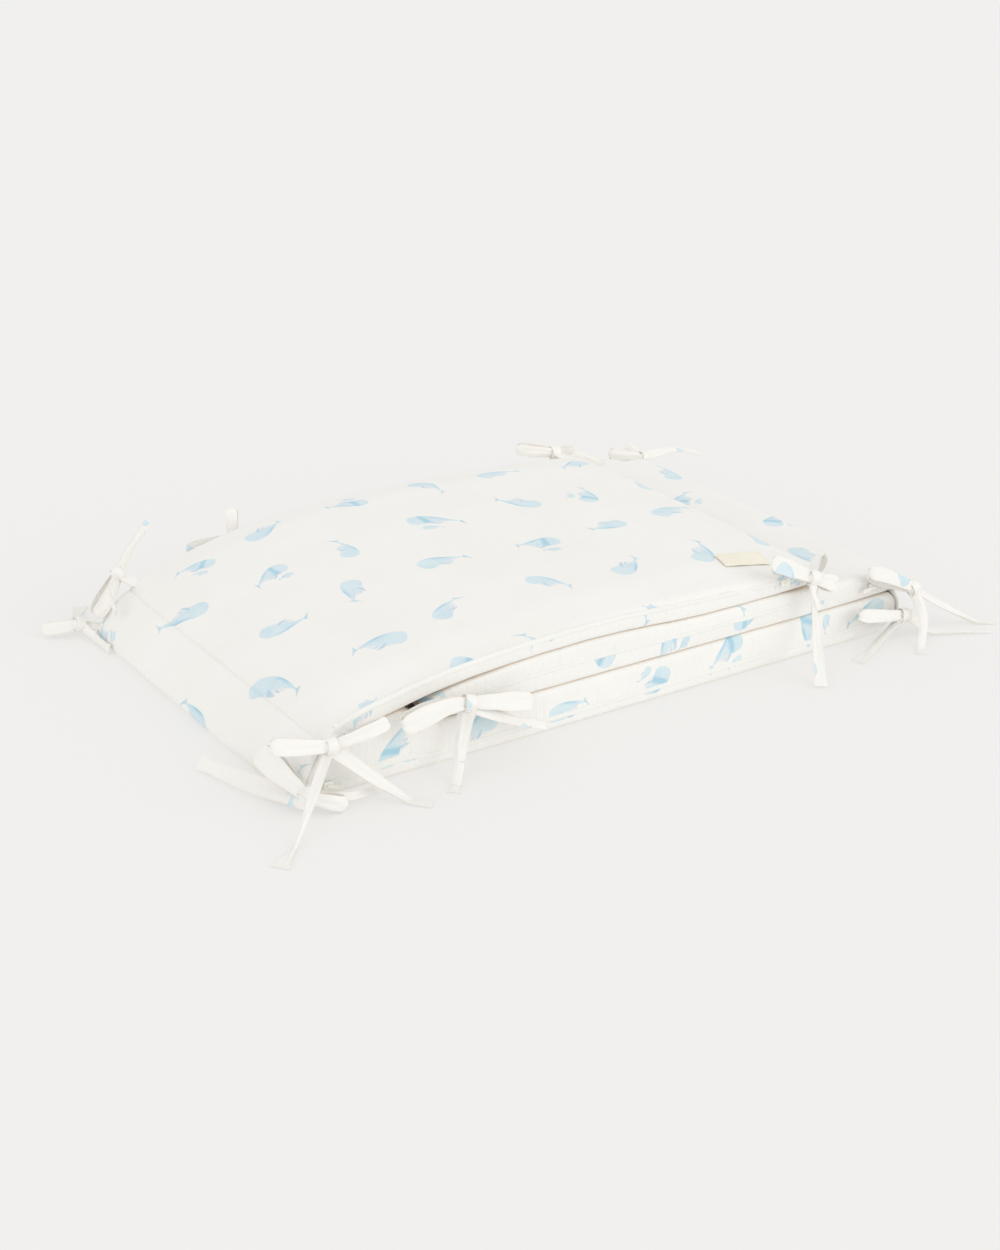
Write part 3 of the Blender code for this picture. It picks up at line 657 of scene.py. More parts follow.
def makeWhaleGroup():
    tree, given, made = newGroup("whale", {"X": "Float", "Y": "Float", "Bend": "Float"}, whaleMasks)
    x = given["X"]
    past = larger(minus(x, whale["bendFrom"]), 0.0)
    y = minus(given["Y"], times(times(past, past), given["Bend"]))
    back = times(minus(drawnCurve(x, whale["back"]), 0.5), whale["tall"])
    belly = times(minus(drawnCurve(x, whale["belly"]), 0.5), whale["tall"])
    inside = smaller(minus(back, y), minus(y, belly))
    inside = smaller(inside, smaller(x, minus(whale["end"], x)))
    # the flukes spread to both sides of the body's end
    spread = calc("ABSOLUTE", y)
    reach = minus(x, whale["flukeStart"])
    near = minus(reach, times(spread, whale["flukeNear"]))
    far = minus(plus(times(spread, whale["flukeFar"]), whale["flukeDeep"]), reach)
    dark = larger(fadeBetween(smaller(near, far), 0.0, whale["soft"]), leafMask(x, y, whale["flipper"]))
    dark = larger(dark, times(leafMask(x, y, whale["farFlipper"]), whale["farShare"]))
    # pigment gathers at the waist, on the belly's side
    fromWaist = calc("ABSOLUTE", minus(x, whale["waist"]))
    edge = fadeBetween(minus(y, belly), whale["waistAcross"], 0.0)
    edge = times(edge, fadeBetween(fromWaist, whale["waistReach"], 0.0))
    feed(made["Body"], fadeBetween(inside, 0.0, whale["soft"]))
    feed(made["Dark"], dark)
    feed(made["Pale"], leafMask(x, y, whale["pale"]))
    feed(made["Edge"], edge)
    return tree


# The print: one motif in each cell of a staggered grid, turned and shifted by chance, some with a calf.
printed = {
    "cell": 0.083,
    "seeds": (3.7, 11.3),
    "jitter": 0.24,
    "middle": (0.52, 0.06),
    "lengthLow": 0.0345,
    "lengthMore": 0.010,
    "turnBase": 0.25,
    "turnMore": 2.1,
    "bendLow": 0.30,
    "bendMore": 1.00,
    "calfSize": 0.40,
    "calfPlace": (0.10, 0.46),
    "calfShare": 0.36,
    "cloth": (0.895, 0.886, 0.852),
    "clothWarm": (0.884, 0.873, 0.834),
    "blueLight": (0.680, 0.800, 0.838),
    "blueDeep": (0.390, 0.635, 0.765),
    "blueDark": (0.400, 0.625, 0.755),
    # painted shade: a brownish, darker colour for where sides press together and along ribbon edges
    "paintedFoldShade": (0.893, 0.790, 0.685),
    "lilac": (0.715, 0.745, 0.805),
}


def makePrintGroup(whaleGroup):
    tree, given, made = newGroup("whalePrint", {"Cloth": "Vector"}, whaleMasks)
    cell, jitter = printed["cell"], printed["jitter"]
    clothX, clothY = partsOf(given["Cloth"])
    down = over(clothY, cell)
    rowNumber = calc("FLOOR", down)
    half = times(calc("FLOORED_MODULO", rowNumber, 2.0), 0.5)
    along = plus(over(clothX, cell), half)
    column = calc("FLOOR", along)
    chance = []
    for seed in printed["seeds"]:
        node = tree.nodes.new("ShaderNodeTexWhiteNoise")
        node.noise_dimensions = "3D"
        feed(node.inputs["Vector"], placeOf(column, rowNumber, seed))
        parts = tree.nodes.new("ShaderNodeSeparateColor")
        feed(parts.inputs[0], node.outputs["Color"])
        chance += [node.outputs["Value"], *parts.outputs[:3]]
    turnChance, jitterX, jitterY, sizeChance, flipChance, bendChance, calfChance, calfBend = chance
    fromX = minus(calc("FRACT", along), timesPlus(jitterX, jitter, 0.5 - jitter / 2))
    fromY = minus(calc("FRACT", down), timesPlus(jitterY, jitter, 0.5 - jitter / 2))
    turn = timesPlus(turnChance, printed["turnMore"], printed["turnBase"] - printed["turnMore"] / 2)
    turn = timesPlus(calc("GREATER_THAN", flipChance, 0.5), math.pi, turn)
    spin = tree.nodes.new("ShaderNodeVectorRotate")
    spin.rotation_type = "Z_AXIS"
    feed(spin.inputs["Vector"], placeOf(fromX, fromY))
    feed(spin.inputs["Angle"], turn)
    localX, localY = partsOf(spin.outputs[0])
    size = timesPlus(sizeChance, printed["lengthMore"] / cell, printed["lengthLow"] / cell)
    x = plus(over(localX, size), printed["middle"][0])
    upward = timesPlus(calc("GREATER_THAN", jitterY, 0.5), 2.0, -1.0)
    y = plus(times(over(localY, size), upward), printed["middle"][1])
    bend = timesPlus(bendChance, printed["bendMore"], printed["bendLow"])
    mother = useGroup(whaleGroup, {"X": x, "Y": y, "Bend": bend})
    calfX = over(minus(x, printed["calfPlace"][0]), printed["calfSize"])
    calfY = over(minus(y, printed["calfPlace"][1]), printed["calfSize"])
    calf = useGroup(whaleGroup, {"X": calfX, "Y": calfY, "Bend": calfBend})
    there = calc("LESS_THAN", calfChance, printed["calfShare"])
    for name in whaleMasks:
        feed(made[name], larger(mother[name], times(calf[name], there)))
    return tree


yarns = {"drawn": 0.12, "scale": 900.0, "apart": 3.0}     # noise drawn out along each set of yarns


def makeWeaveGroup():
    # height of a plain weave, and a soft unevenness of the yarn
    tree, given, made = newGroup("plainWeave", {"Cloth": "Vector", "Yarn": "Float"}, ("Weave", "Slub"))
    clothX, clothY = partsOf(given["Cloth"])
    warp, weft = [calc("SINE", times(over(part, given["Yarn"]), math.pi)) for part in (clothX, clothY)]
    feed(made["Weave"], timesPlus(times(warp, weft), 0.5, 0.5))
    long = softNoise(placeOf(times(clothX, yarns["drawn"]), clothY), yarns["scale"], 1.0)
    wide = softNoise(placeOf(clothX, times(clothY, yarns["drawn"]), yarns["apart"]), yarns["scale"], 1.0)
    feed(made["Slub"], times(plus(long, wide), 0.5))
    return tree


def clothCoordinates(tree):
    node = tree.nodes.new("ShaderNodeUVMap")
    node.uv_map = "cloth"
    return node.outputs["UV"]


def vertexValue(tree, name):
    node = tree.nodes.new("ShaderNodeAttribute")
    node.attribute_name = name
    return node.outputs["Fac"]


def newMaterial(name, rough, sheen=0.0, specular=0.3):
    made = bpy.data.materials.new(name)
    made.use_nodes = True
    inputs = made.node_tree.nodes["Principled BSDF"].inputs
    values = {"Roughness": rough, "Sheen Weight": sheen, "Sheen Roughness": 0.5, "Specular IOR Level": specular}
    for label, value in values.items():
        inputs[label].default_value = value
    return made, made.node_tree, inputs


def addBump(inputs, height, distance):
    node = addNode("Bump", height)
    node.inputs["Distance"].default_value = distance
    feed(node.inputs["Height"], height)
    feed(inputs["Normal"], node.outputs["Normal"])


cottonLook = {
    "rough": 0.85,
    "sheen": 0.15,
    "specular": 0.2,
    "yarn": 0.00042,
    # scale, detail and roughness of each noise
    "blotch": (60.0, 3.0, 0.6),
    "grain": (520.0, 2.0, 0.7),
    "ground": (14.0, 2.0),
    "pucker": (190.0, 1.5),
    "uneven": (170.0, 2.0),
    "groundFade": (0.35, 0.65),
    "blotchFade": (0.32, 0.68),
    # each share is a noise or a mask times the first number, plus the second
    "wash": (0.30, -0.06),
    "washGrain": (0.40, -0.20),
    "paleShare": (0.9, 0.10),
    "darkShare": (1.1, 0.05),
    "bodyShare": 0.95,
    "puckerDrawn": 0.16,          # how much longer the puckers are across the cloth than along it
    "weaveHigh": 0.025,
    "slubHigh": 0.06,
    "unevenHigh": 0.10,
    "bump": 0.0016,
}


def makePrintedCotton(printGroup, weaveGroup):
    look = cottonLook
    made, tree, inputs = newMaterial("printedCotton", look["rough"], look["sheen"], look["specular"])
    cloth = clothCoordinates(tree)
    masks = useGroup(printGroup, {"Cloth": cloth})
    weave = useGroup(weaveGroup, {"Cloth": cloth, "Yarn": look["yarn"]})
    blotch = softNoise(cloth, *look["blotch"])
    grain = softNoise(cloth, *look["grain"])
    mottle = fadeBetween(softNoise(cloth, *look["ground"]), *look["groundFade"])
    ground = mixColours(mottle, printed["cloth"], printed["clothWarm"])
    # painted shade: the fold attribute mixes in a brownish, darker colour where sides press together and along
    # ribbon edges
    ground = mixColours(vertexValue(tree, "fold"), ground, printed["paintedFoldShade"])
    wash = plus(timesPlus(fadeBetween(blotch, *look["blotchFade"]), *look["wash"]), masks["Edge"])
    wash = plus(wash, timesPlus(grain, *look["washGrain"]), clamp=True)
    blue = mixColours(wash, printed["blueLight"], printed["blueDeep"])
    paleShare = times(masks["Pale"], timesPlus(blotch, *look["paleShare"]), clamp=True)
    colour = mixColours(paleShare, ground, printed["lilac"])
    colour = mixColours(times(masks["Body"], look["bodyShare"]), colour, blue)
    darkShare = times(masks["Dark"], timesPlus(blotch, *look["darkShare"]), clamp=True)
    feed(inputs["Base Color"], mixColours(darkShare, colour, printed["blueDark"]))
    clothX, clothY = partsOf(cloth)
    puckers = softNoise(placeOf(clothX, times(clothY, look["puckerDrawn"])), *look["pucker"])
    height = times(puckers, vertexValue(tree, "pucker"))
    height = plus(height, times(weave["Weave"], look["weaveHigh"]))
    height = plus(height, times(weave["Slub"], look["slubHigh"]))
    height = plus(height, times(softNoise(cloth, *look["uneven"]), look["unevenHigh"]))
    addBump(inputs, height, look["bump"])
    return made


woven = {"rough": 0.85, "sheen": 0.1, "specular": 0.2, "weaveShare": 0.45, "slubShare": 0.55}
wovenColumns = ("name", "colour", "second", "yarn", "bump")
wovenTable = (
    ("zipTape", (0.893, 0.892, 0.855), (0.885, 0.883, 0.844), 0.0007, 0.0001),
    ("labelTape", (0.955, 0.915, 0.785), (0.92, 0.87, 0.73), 0.0009, 0.0003),
    ("sewingThread", (0.750, 0.765, 0.700), (0.72, 0.735, 0.67), 0.0004, 0.0001),
)


def makeWoven(row, weaveGroup):
    made, tree, inputs = newMaterial(row["name"], woven["rough"], woven["sheen"], woven["specular"])
    weave = useGroup(weaveGroup, {"Cloth": clothCoordinates(tree), "Yarn": row["yarn"]})
    share = plus(times(weave["Weave"], woven["weaveShare"]), times(weave["Slub"], woven["slubShare"]))
    feed(inputs["Base Color"], mixColours(share, row["colour"], row["second"]))
    addBump(inputs, plus(weave["Weave"], weave["Slub"]), row["bump"])
    return made


enamelLook = {
    "rough": 0.32,
    "specular": 0.5,
    "wear": (900.0, 2.0),
    "wearFade": (0.52, 0.66),
    "roughShare": (0.25, 0.22),
    "cream": (0.900, 0.885, 0.830),
    "worn": (0.84, 0.82, 0.75),
}


def makeEnamel():
    made, tree, inputs = newMaterial("creamEnamel", enamelLook["rough"], specular=enamelLook["specular"])
    node = tree.nodes.new("ShaderNodeTexCoord")
    wear = softNoise(node.outputs["Object"], *enamelLook["wear"])
    share = fadeBetween(wear, *enamelLook["wearFade"])
    feed(inputs["Base Color"], mixColours(share, enamelLook["cream"], enamelLook["worn"]))
    feed(inputs["Roughness"], timesPlus(wear, *enamelLook["roughShare"]))
    return made


weaveGroup = makeWeaveGroup()
cotton = makePrintedCotton(makePrintGroup(makeWhaleGroup()), weaveGroup)
tape, linen, thread = [makeWoven(row, weaveGroup) for row in rows(wovenColumns, wovenTable)]
enamel = makeEnamel()
print("materials made")


# Where each zip runs along its pad's front edge; a height is a share of the pad's half thickness.
zipColumns = ("pad", "startX", "startHeight", "endX", "endHeight")
zipTable = (
    ("top", -0.270, 0.51, 0.172, 0.05),
    ("bottom", -0.284, -0.45, 0.288, -0.30),
    ("middle", -0.150, 0.05, 0.290, 0.10),
)
zips = {row["pad"]: row for row in rows(zipColumns, zipTable)}


def zipHeight(pad, x):
    row = zips[pad]
    share = min(max((x - row["startX"]) / (row["endX"] - row["startX"]), 0.0), 1.0)
    return row["startHeight"] + (row["endHeight"] - row["startHeight"]) * share


def allStations():
    return [
        *padStations("top"),
        *hingeStations("top", leftHinge, "bottom", "leftHinge"),
        *padStations("bottom"),
        *hingeStations("bottom", rightHinge, "middle", "rightHinge"),
        *padStations("middle"),
    ]


def casingLevel(station, edge, height):
    # above 0 on the outer cloth, which ends at the zip on the front edge
    x, name = station[0], station[7]
    split = zipHeight(name, x) * pads[name]["outer"] if name in pads and edge < 0.0 else 0.0
    return height - split


def casingPucker(station, y):
    front = math.exp(-max(0.0, y + casing["frontAt"]) / casing["frontReach"])
    pucker = casing["pucker"] + casing["frontPucker"] * front
    if station[7] == "top":
        pucker += casing["seamPucker"] * math.exp(-seamDistance(station[0], "top") / casing["seamReach"])
    return pucker


def casingPaintedShade(station, height):
    # painted brownish shade between two sides that press on each other, as a share of the fold colour
    x, name = station[0], station[7]
    bare = name == "middle" and height > 0.0 and x > casing["bareFrom"]
    bare = bare or (name == "bottom" and (height == 1.0 or x > casing["endFrom"]))
    if bare or edgePower(name, height) != casing["pressedPower"]:
        return 0.0
    start = casing["shadeFromBottom"] if name == "bottom" and height > 0.0 else casing["shadeFrom"]
    return min(max((abs(height) - start) / (1.0 - start), 0.0), 1.0)


def buildCasing():
    # the outlines start at the middle of the back edge, where the cloth's own seam is
    backMiddle = casing["columns"] + casing["edgeSteps"] // 2
    names = (*pads, "leftHinge", "rightHinge")
    outlines = {name: np.roll(sectionOutline(name), -backMiddle, axis=0) for name in names}
    stations = allStations()
    rings, us, vs = [], [], []
    along = 0.0
    for number, station in enumerate(stations):
        if number:
            along += math.hypot(station[0] - stations[number - 1][0], station[1] - stations[number - 1][1])
        ring = sectionRing(station, outlines[station[7]], along, station[7] in ("top", "leftHinge"))
        ring[:, 2] = np.maximum(ring[:, 2], 0.0)
        rings.append(ring)
        us.append(along)
        around = np.vstack((ring, ring[:1]))
        vs.append(np.concatenate(([0.0], np.cumsum(np.linalg.norm(np.diff(around, axis=0), axis=1)))))
    bm, table = gridOver(rings)
    pucker = bm.verts.layers.float["pucker"]
    fold = bm.verts.layers.float["fold"]
    level = {}
    for verts, station in zip(table, stations):
        outline = outlines[station[7]]
        for column, vert in enumerate(verts):
            edge, height = outline[column % len(outline)][1:]
            level[vert] = casingLevel(station, edge, height)
            vert[pucker] = casingPucker(station, vert.co.y)
            # painted shade: how much brownish, darker colour this vert gets
            vert[fold] = casingPaintedShade(station, height)

    def whichCloth(face):
        outer = sum(level[vert] for vert in face.verts) > 0.0
        return (0.0, 0.0) if outer else casing["innerShift"]

    clothMap(bm, table, us, vs, whichCloth)
    sewShut(bm, table)
    made = addPiece("casing", bm, cotton)
    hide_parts("bumper")
    return made


padding = buildCasing()
print("casing built:", len(padding.data.polygons), "faces")


# Each zip shows as a narrow band of tape between two folds of the cloth, with a row of stitches on each side.
zipBand = {
    "width": 0.0044,
    "stand": 0.00005,
    "thick": 0.0003,
    "under": -0.0004,
    "edgePower": 5,
    "step": 0.0024,
    "acrossSteps": 14,
    "grooves": (-0.45, 0.45),
    "grooveDeep": 0.00028,
    "grooveWide": 0.07,
    "wave": 0.00008,
    "waveScale": 70.0,
    "stitchAt": (-0.80, 0.80),
    "stitchPitch": 0.0030,
    "stitchLong": 0.0021,
    "stitchThick": 0.00026,
    "stitchFrom": 0.003,
    "stitchRise": 0.15,
}


def bandStand(share, along, seed):
    # how far the band's outer side stands off the pad
    rise = zipBand["thick"] * (1.0 - abs(share) ** zipBand["edgePower"])
    for groove in zipBand["grooves"]:
        rise -= zipBand["grooveDeep"] * math.exp(-(((share - groove) / zipBand["grooveWide"]) ** 2))
    wave = noise.noise(Vector((along * zipBand["waveScale"], seed, share)))
    return zipBand["stand"] + rise + zipBand["wave"] * wave


def bandPoint(pad, x, share, stand):
    thick = padSection(pad, x)[1]
    height = zipHeight(pad, x) + share * zipBand["width"] / thick
    return frontFace(pad, x, height, stand)


def buildZip(pad, seed):
    row = zips[pad]
    count = round((row["endX"] - row["startX"]) / zipBand["step"])
    shares = [1.0 - 2.0 * step / zipBand["acrossSteps"] for step in range(zipBand["acrossSteps"] + 1)]
    rings, us, vs = [], [], []
    for step in range(count + 1):
        x = row["startX"] + (row["endX"] - row["startX"]) * step / count
        outer = [bandPoint(pad, x, share, bandStand(share, x, seed))[0] for share in shares]
        inner = [bandPoint(pad, x, share, zipBand["under"])[0] for share in reversed(shares)]
        rings.append(outer + inner)
        us.append(x)
        vs.append([share * zipBand["width"] / 2 for share in shares + shares[::-1]] + [zipBand["width"] / 2])
    bm, table = gridOver(rings)
    clothMap(bm, table, us, vs)
    sewShut(bm, table)
    made = addPiece("zip" + pad.capitalize(), bm, tape)
    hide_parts("zip_" + pad)
    return made


def stitch(bm, place, along, out, long, thick):
    # one thread stitch, lying on the cloth
    across = along.cross(out).normalized()
    turn = Matrix((along, across, out)).transposed().to_4x4()
    size = Matrix.Diagonal((long / 2, thick / 2, thick / 2, 1.0))
    bmesh.ops.create_icosphere(bm, subdivisions=1, radius=1.0, matrix=Matrix.Translation(place) @ turn @ size)


def buildStitches(pad, seed):
    row = zips[pad]
    bm = bmesh.new()
    count = int((row["endX"] - row["startX"] - 2 * zipBand["stitchFrom"]) / zipBand["stitchPitch"])
    for share in zipBand["stitchAt"]:
        for step in range(count):
            x = row["startX"] + zipBand["stitchFrom"] + (step + 0.5) * zipBand["stitchPitch"]
            reach = zipBand["stitchPitch"] / 2
            stand = bandStand(share, x, seed) + zipBand["stitchThick"] * zipBand["stitchRise"]
            place, out = bandPoint(pad, x, share, stand)
            before = bandPoint(pad, x - reach, share, stand)[0]
            after = bandPoint(pad, x + reach, share, stand)[0]
            stitch(bm, place, (after - before).normalized(), out, zipBand["stitchLong"], zipBand["stitchThick"])
    return addPiece("stitches" + pad.capitalize(), bm, thread)


trims = []
for seed, pad in enumerate(zips):
    trims += [buildZip(pad, seed + 1.5), buildStitches(pad, seed + 1.5)]
print("zips and their stitches built")


# Zip sliders, each with its pull.
slider = {
    "body": (0.0080, 0.0026, 0.0056),
    "bevel": 0.0010,
    "bevelSteps": 3,
    "pull": (0.0130, 0.0010, 0.0040),
    "pullSteps": 28,
    "pullGap": 0.0002,
    "nearLong": 0.25,
    "nearWide": 0.62,             # the pull is narrower at its end on the slider
    "rim": 0.0007,
    "rimDeep": 0.0003,
    "bridge": (0.0042, 0.0012, 0.0018),
    "bridgeBevel": 0.0005,
    "bridgeRise": 0.6,
    "stand": 0.0016,
}
sliderColumns = ("pad", "x", "pullAngle")
sliderTable = (("top", 0.164, 60.0), ("bottom", -0.2785, -20.0), ("middle", 0.268, 186.0))


def roundedBlock(bm, size, bevel, place):
    verts = bmesh.ops.create_cube(bm, size=1.0)["verts"]
    bmesh.ops.scale(bm, vec=size, verts=verts)
    edges = list({edge for vert in verts for edge in vert.link_edges})
    done = bmesh.ops.bevel(
        bm, geom=edges, offset=bevel, offset_type="OFFSET", segments=slider["bevelSteps"], profile=0.5,
        affect="EDGES", material=-1,
    )
    kept = {vert for vert in verts if vert.is_valid}
    kept.update(vert for face in done["faces"] for vert in face.verts)
    bmesh.ops.transform(bm, matrix=place, verts=list(kept))


def pullPlate(bm, place):
    # a rounded plate with a raised rim, its narrow end on the slider
    long, thick, wide = slider["pull"]
    verts = bmesh.ops.create_circle(bm, cap_ends=True, segments=slider["pullSteps"], radius=wide / 2)["verts"]
    for vert in verts:
        far = vert.co.x > 0.0
        moved = long - wide / 2 if far else wide * slider["nearLong"]
        vert.co = Vector((vert.co.x + moved, vert.co.y * (1.0 if far else slider["nearWide"]), 0.0))
    face = verts[0].link_faces[0]
    raised = bmesh.ops.extrude_face_region(bm, geom=[face])["geom"]
    top = [item for item in raised if isinstance(item, bmesh.types.BMFace)]
    bmesh.ops.translate(bm, vec=(0.0, 0.0, thick), verts=top[0].verts)
    bmesh.ops.inset_individual(bm, faces=top, thickness=slider["rim"], depth=-slider["rimDeep"])
    bmesh.ops.recalc_face_normals(bm, faces=bm.faces)
    bmesh.ops.transform(bm, matrix=place @ Matrix.Rotation(math.radians(90.0), 4, "X"), verts=bm.verts)


def buildSlider(row):
    pad = row["pad"]
    halfThick = slider["body"][1] / 2
    place, outward = frontFace(pad, row["x"], zipHeight(pad, row["x"]), slider["stand"] + halfThick)
    turn = Matrix.Rotation(-math.atan2(outward.z, -outward.y), 4, "X")
    stand = Matrix.Translation(place) @ turn
    bm = bmesh.new()
    swing = Matrix.Rotation(-math.radians(row["pullAngle"]), 4, "Y")
    pullPlate(bm, stand @ swing @ Matrix.Translation((0.0, -halfThick - slider["pullGap"], 0.0)))
    roundedBlock(bm, slider["body"], slider["bevel"], stand)
    bridge = Matrix.Translation((0.0, -halfThick - slider["bridge"][1] * slider["bridgeRise"], 0.0))
    roundedBlock(bm, slider["bridge"], slider["bridgeBevel"], stand @ bridge)
    made = addPiece("slider" + pad.capitalize(), bm, enamel, angle=35.0)
    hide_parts("slider_" + pad)
    return made


sliders = [buildSlider(row) for row in rows(sliderColumns, sliderTable)]
print("zip sliders built")


# The label is blank, and sewn down at its two ends.
label = {
    "middle": (0.1483, -0.1457),
    "size": (0.0436, 0.0215),
    "turn": -11.0,
    "stand": 0.0004,
    "thick": 0.0009,
    "edgeThin": 0.4,
    "edgePower": 8,
    "steps": (36, 18),
    "wave": 0.00035,
    "waveScale": (90.0, 120.0),
    "waveSeed": 4.0,
    "waveLift": 0.6,
    "stitchIn": 0.0022,
    "stitchPitch": 0.0026,
    "stitchLong": 0.0019,
    "stitchThick": 0.0004,
    "stitchEnd": 0.001,
}


def labelPoint(u, v, stand):
    turn = math.radians(label["turn"])
    x = label["middle"][0] + u * math.cos(turn) - v * math.sin(turn)
    y = label["middle"][1] + u * math.sin(turn) + v * math.cos(turn)
    scaleU, scaleV = label["waveScale"]
    uneven = noise.noise(Vector((u * scaleU, v * scaleV, label["waveSeed"])))
    wave = label["wave"] * (label["waveLift"] + uneven)
    return Vector((x, y, topHeight(x, y) + label["stand"] + wave + stand))


def buildLabel():
    across, down = label["steps"]
    wide, deep = label["size"]
    rings, us, vs = [], [], []
    levels = [down * 0.5 - step for step in range(down + 1)]
    for step in range(across + 1):
        u = (step / across - 0.5) * wide
        line = [level / down * deep for level in levels]
        thins = [label["edgeThin"] * abs(2 * v / deep) ** label["edgePower"] for v in line]
        upper = [labelPoint(u, v, label["thick"] * (1.0 - thin)) for v, thin in zip(line, thins)]
        lower = [labelPoint(u, v, 0.0) for v in reversed(line)]
        rings.append(upper + lower)
        us.append(u)
        vs.append(line + line[::-1] + line[:1])
    bm, table = gridOver(rings)
    clothMap(bm, table, us, vs)
    sewShut(bm, table)
    made = addPiece("labelTape", bm, linen)
    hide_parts("label")
    bm = bmesh.new()
    count = int((deep - 2 * label["stitchEnd"]) / label["stitchPitch"])
    for side in (-1.0, 1.0):
        u = side * (wide / 2 - label["stitchIn"])
        for step in range(count):
            v = (step + 0.5 - count / 2) * label["stitchPitch"]
            ahead, behind = [labelPoint(u, v + way * label["stitchEnd"], 0.0) for way in (1.0, -1.0)]
            place = labelPoint(u, v, label["thick"])
            stitch(bm, place, (ahead - behind).normalized(), upright, label["stitchLong"], label["stitchThick"])
    return made, addPiece("labelStitches", bm, thread)


labelPiece, labelStitches = buildLabel()
print("label built")


# Bows: each has a knot with one pass of ribbon round it, a root sewn into the casing, loops and two tails.
bow = {
    "thickness": 0.0014,
    "knotSize": (0.0122, 0.0112, 0.0116),
    "knotWidth": 0.0085,          # of a loop's ribbon, where it goes into the knot
    "knotSteps": (24, 14),
    "rootWidth": 0.0120,
    "rootNarrow": 0.7,
    "rootSteps": 12,
    "floorHeight": 0.0011,        # middle of a ribbon that lies on the surface
    "touchShare": 0.62,
    "touchRise": 0.0006,
    "loopSteps": 64,
    "tailSteps": 48,
    "acrossSteps": 16,
    "lineDeep": 0.00028,          # the line where its two folded edges meet
    "lineAt": 0.66,
    "lineWide": 0.07,
    "edgeThin": 0.45,
    "edgePower": 4,
    "crease": 0.0005,
    "calmFrom": 0.70,             # a tail lies smoother from here to its end
    "calm": 0.85,
    "settle": 2.0,
    "loopCreased": 1.2,
    "wrapCreased": 0.5,
    "cup": 0.0008,                # of a ribbon's hollow face
    "cupMiddle": 0.4,
    "cupBase": 0.6,
    "foldGain": 1.5,
    "fineGain": 0.4,
    "fold": 0.0012,               # of the long crease that wanders across a ribbon
    "crestShift": 0.9,
    "crestHigh": 0.45,
    "deepGain": 2.2,
    "deepBase": 0.35,
    "widthWave": 0.08,
    "pinchReach": 0.24,           # of the place where a tail is narrowest
    "tipTaper": 0.42,             # how much narrower a loop is at its tip
    "tipReach": 0.075,
    "flare": 0.20,
    "flareFrom": 0.86,
    "printAside": 0.62,           # how far from a border between the print's cells a ribbon may be cut
    "cutShares": (0.137, 0.371),
    # painted shade: a little of the brownish fold colour over each ribbon, much more at its edges
    "warm": 0.05,
    "paintedShadeEdge": 0.30,
    "paintedShadePower": 8,
    "clear": 0.0003,
    "archAlong": 1.15,
    "wrapRadii": (0.0058, 0.0062),
    "wrapWidth": 0.0105,
    "wrapWave": 0.14,
    "wrapPoints": 9,
    "wrapStart": 200.0,
    "wrapTurn": 45.0 * 1.06,
    "wrapSteps": 40,
    "wrapSeed": 0.5,
    "tilt": 18.0,
    "tiltSeeds": (2.1, 3.7),
    "swing": 0.25,
}
acrossShares = [step / bow["acrossSteps"] - 0.5 for step in range(bow["acrossSteps"] + 1)]
ribbonShares = [math.sin(math.pi * share) for share in acrossShares]
# Noise scale along a ribbon, then factors for its seed or for the place across it.
creaseNoise = {
    "lift": (55.0, 3.1, 0.0),
    "crest": (16.0, 2.3, 4.0),
    "deep": (22.0, 5.9, 9.0),
    "fold": (40.0, 1.7, 7.7),
    "fine": (110.0, 4.0, 1.3),
}
tieColumns = ("name", "knot", "root")
tieTable = (
    ("top_front_left", (-0.2820, -0.1950, 0.0500), (-0.2700, -0.1740, 0.0510)),
    ("top_front_right", (0.1860, -0.1945, 0.0800), (0.1960, -0.1740, 0.0760)),
    ("top_back_left", (-0.2760, 0.1930, 0.0500), (-0.2620, 0.1740, 0.0430)),
    ("top_back_right", (0.1960, 0.1950, 0.0780), (0.2000, 0.1740, 0.0750)),
    ("middle_front_left", (-0.1620, -0.1950, 0.0540), (-0.1600, -0.1740, 0.0530)),
    ("middle_front_right", (0.3080, -0.1940, 0.0440), (0.2990, -0.1740, 0.0500)),
    ("middle_back_left", (-0.1620, 0.1950, 0.0600), (-0.1600, 0.1740, 0.0560)),
    ("middle_back_right", (0.3070, 0.1950, 0.0530), (0.2980, 0.1740, 0.0500)),
    ("bottom_front_left", (-0.3030, -0.1960, 0.0150), (-0.2900, -0.1740, 0.0120)),
    ("bottom_front_right", (0.3000, -0.1935, 0.0190), (0.2960, -0.1740, 0.0180)),
    ("bottom_back_left", (-0.3150, 0.1910, 0.0125), (-0.2930, 0.1740, 0.0100)),
    ("bottom_back_right", (0.3060, 0.1960, 0.0160), (0.2960, 0.1740, 0.0170)),
)
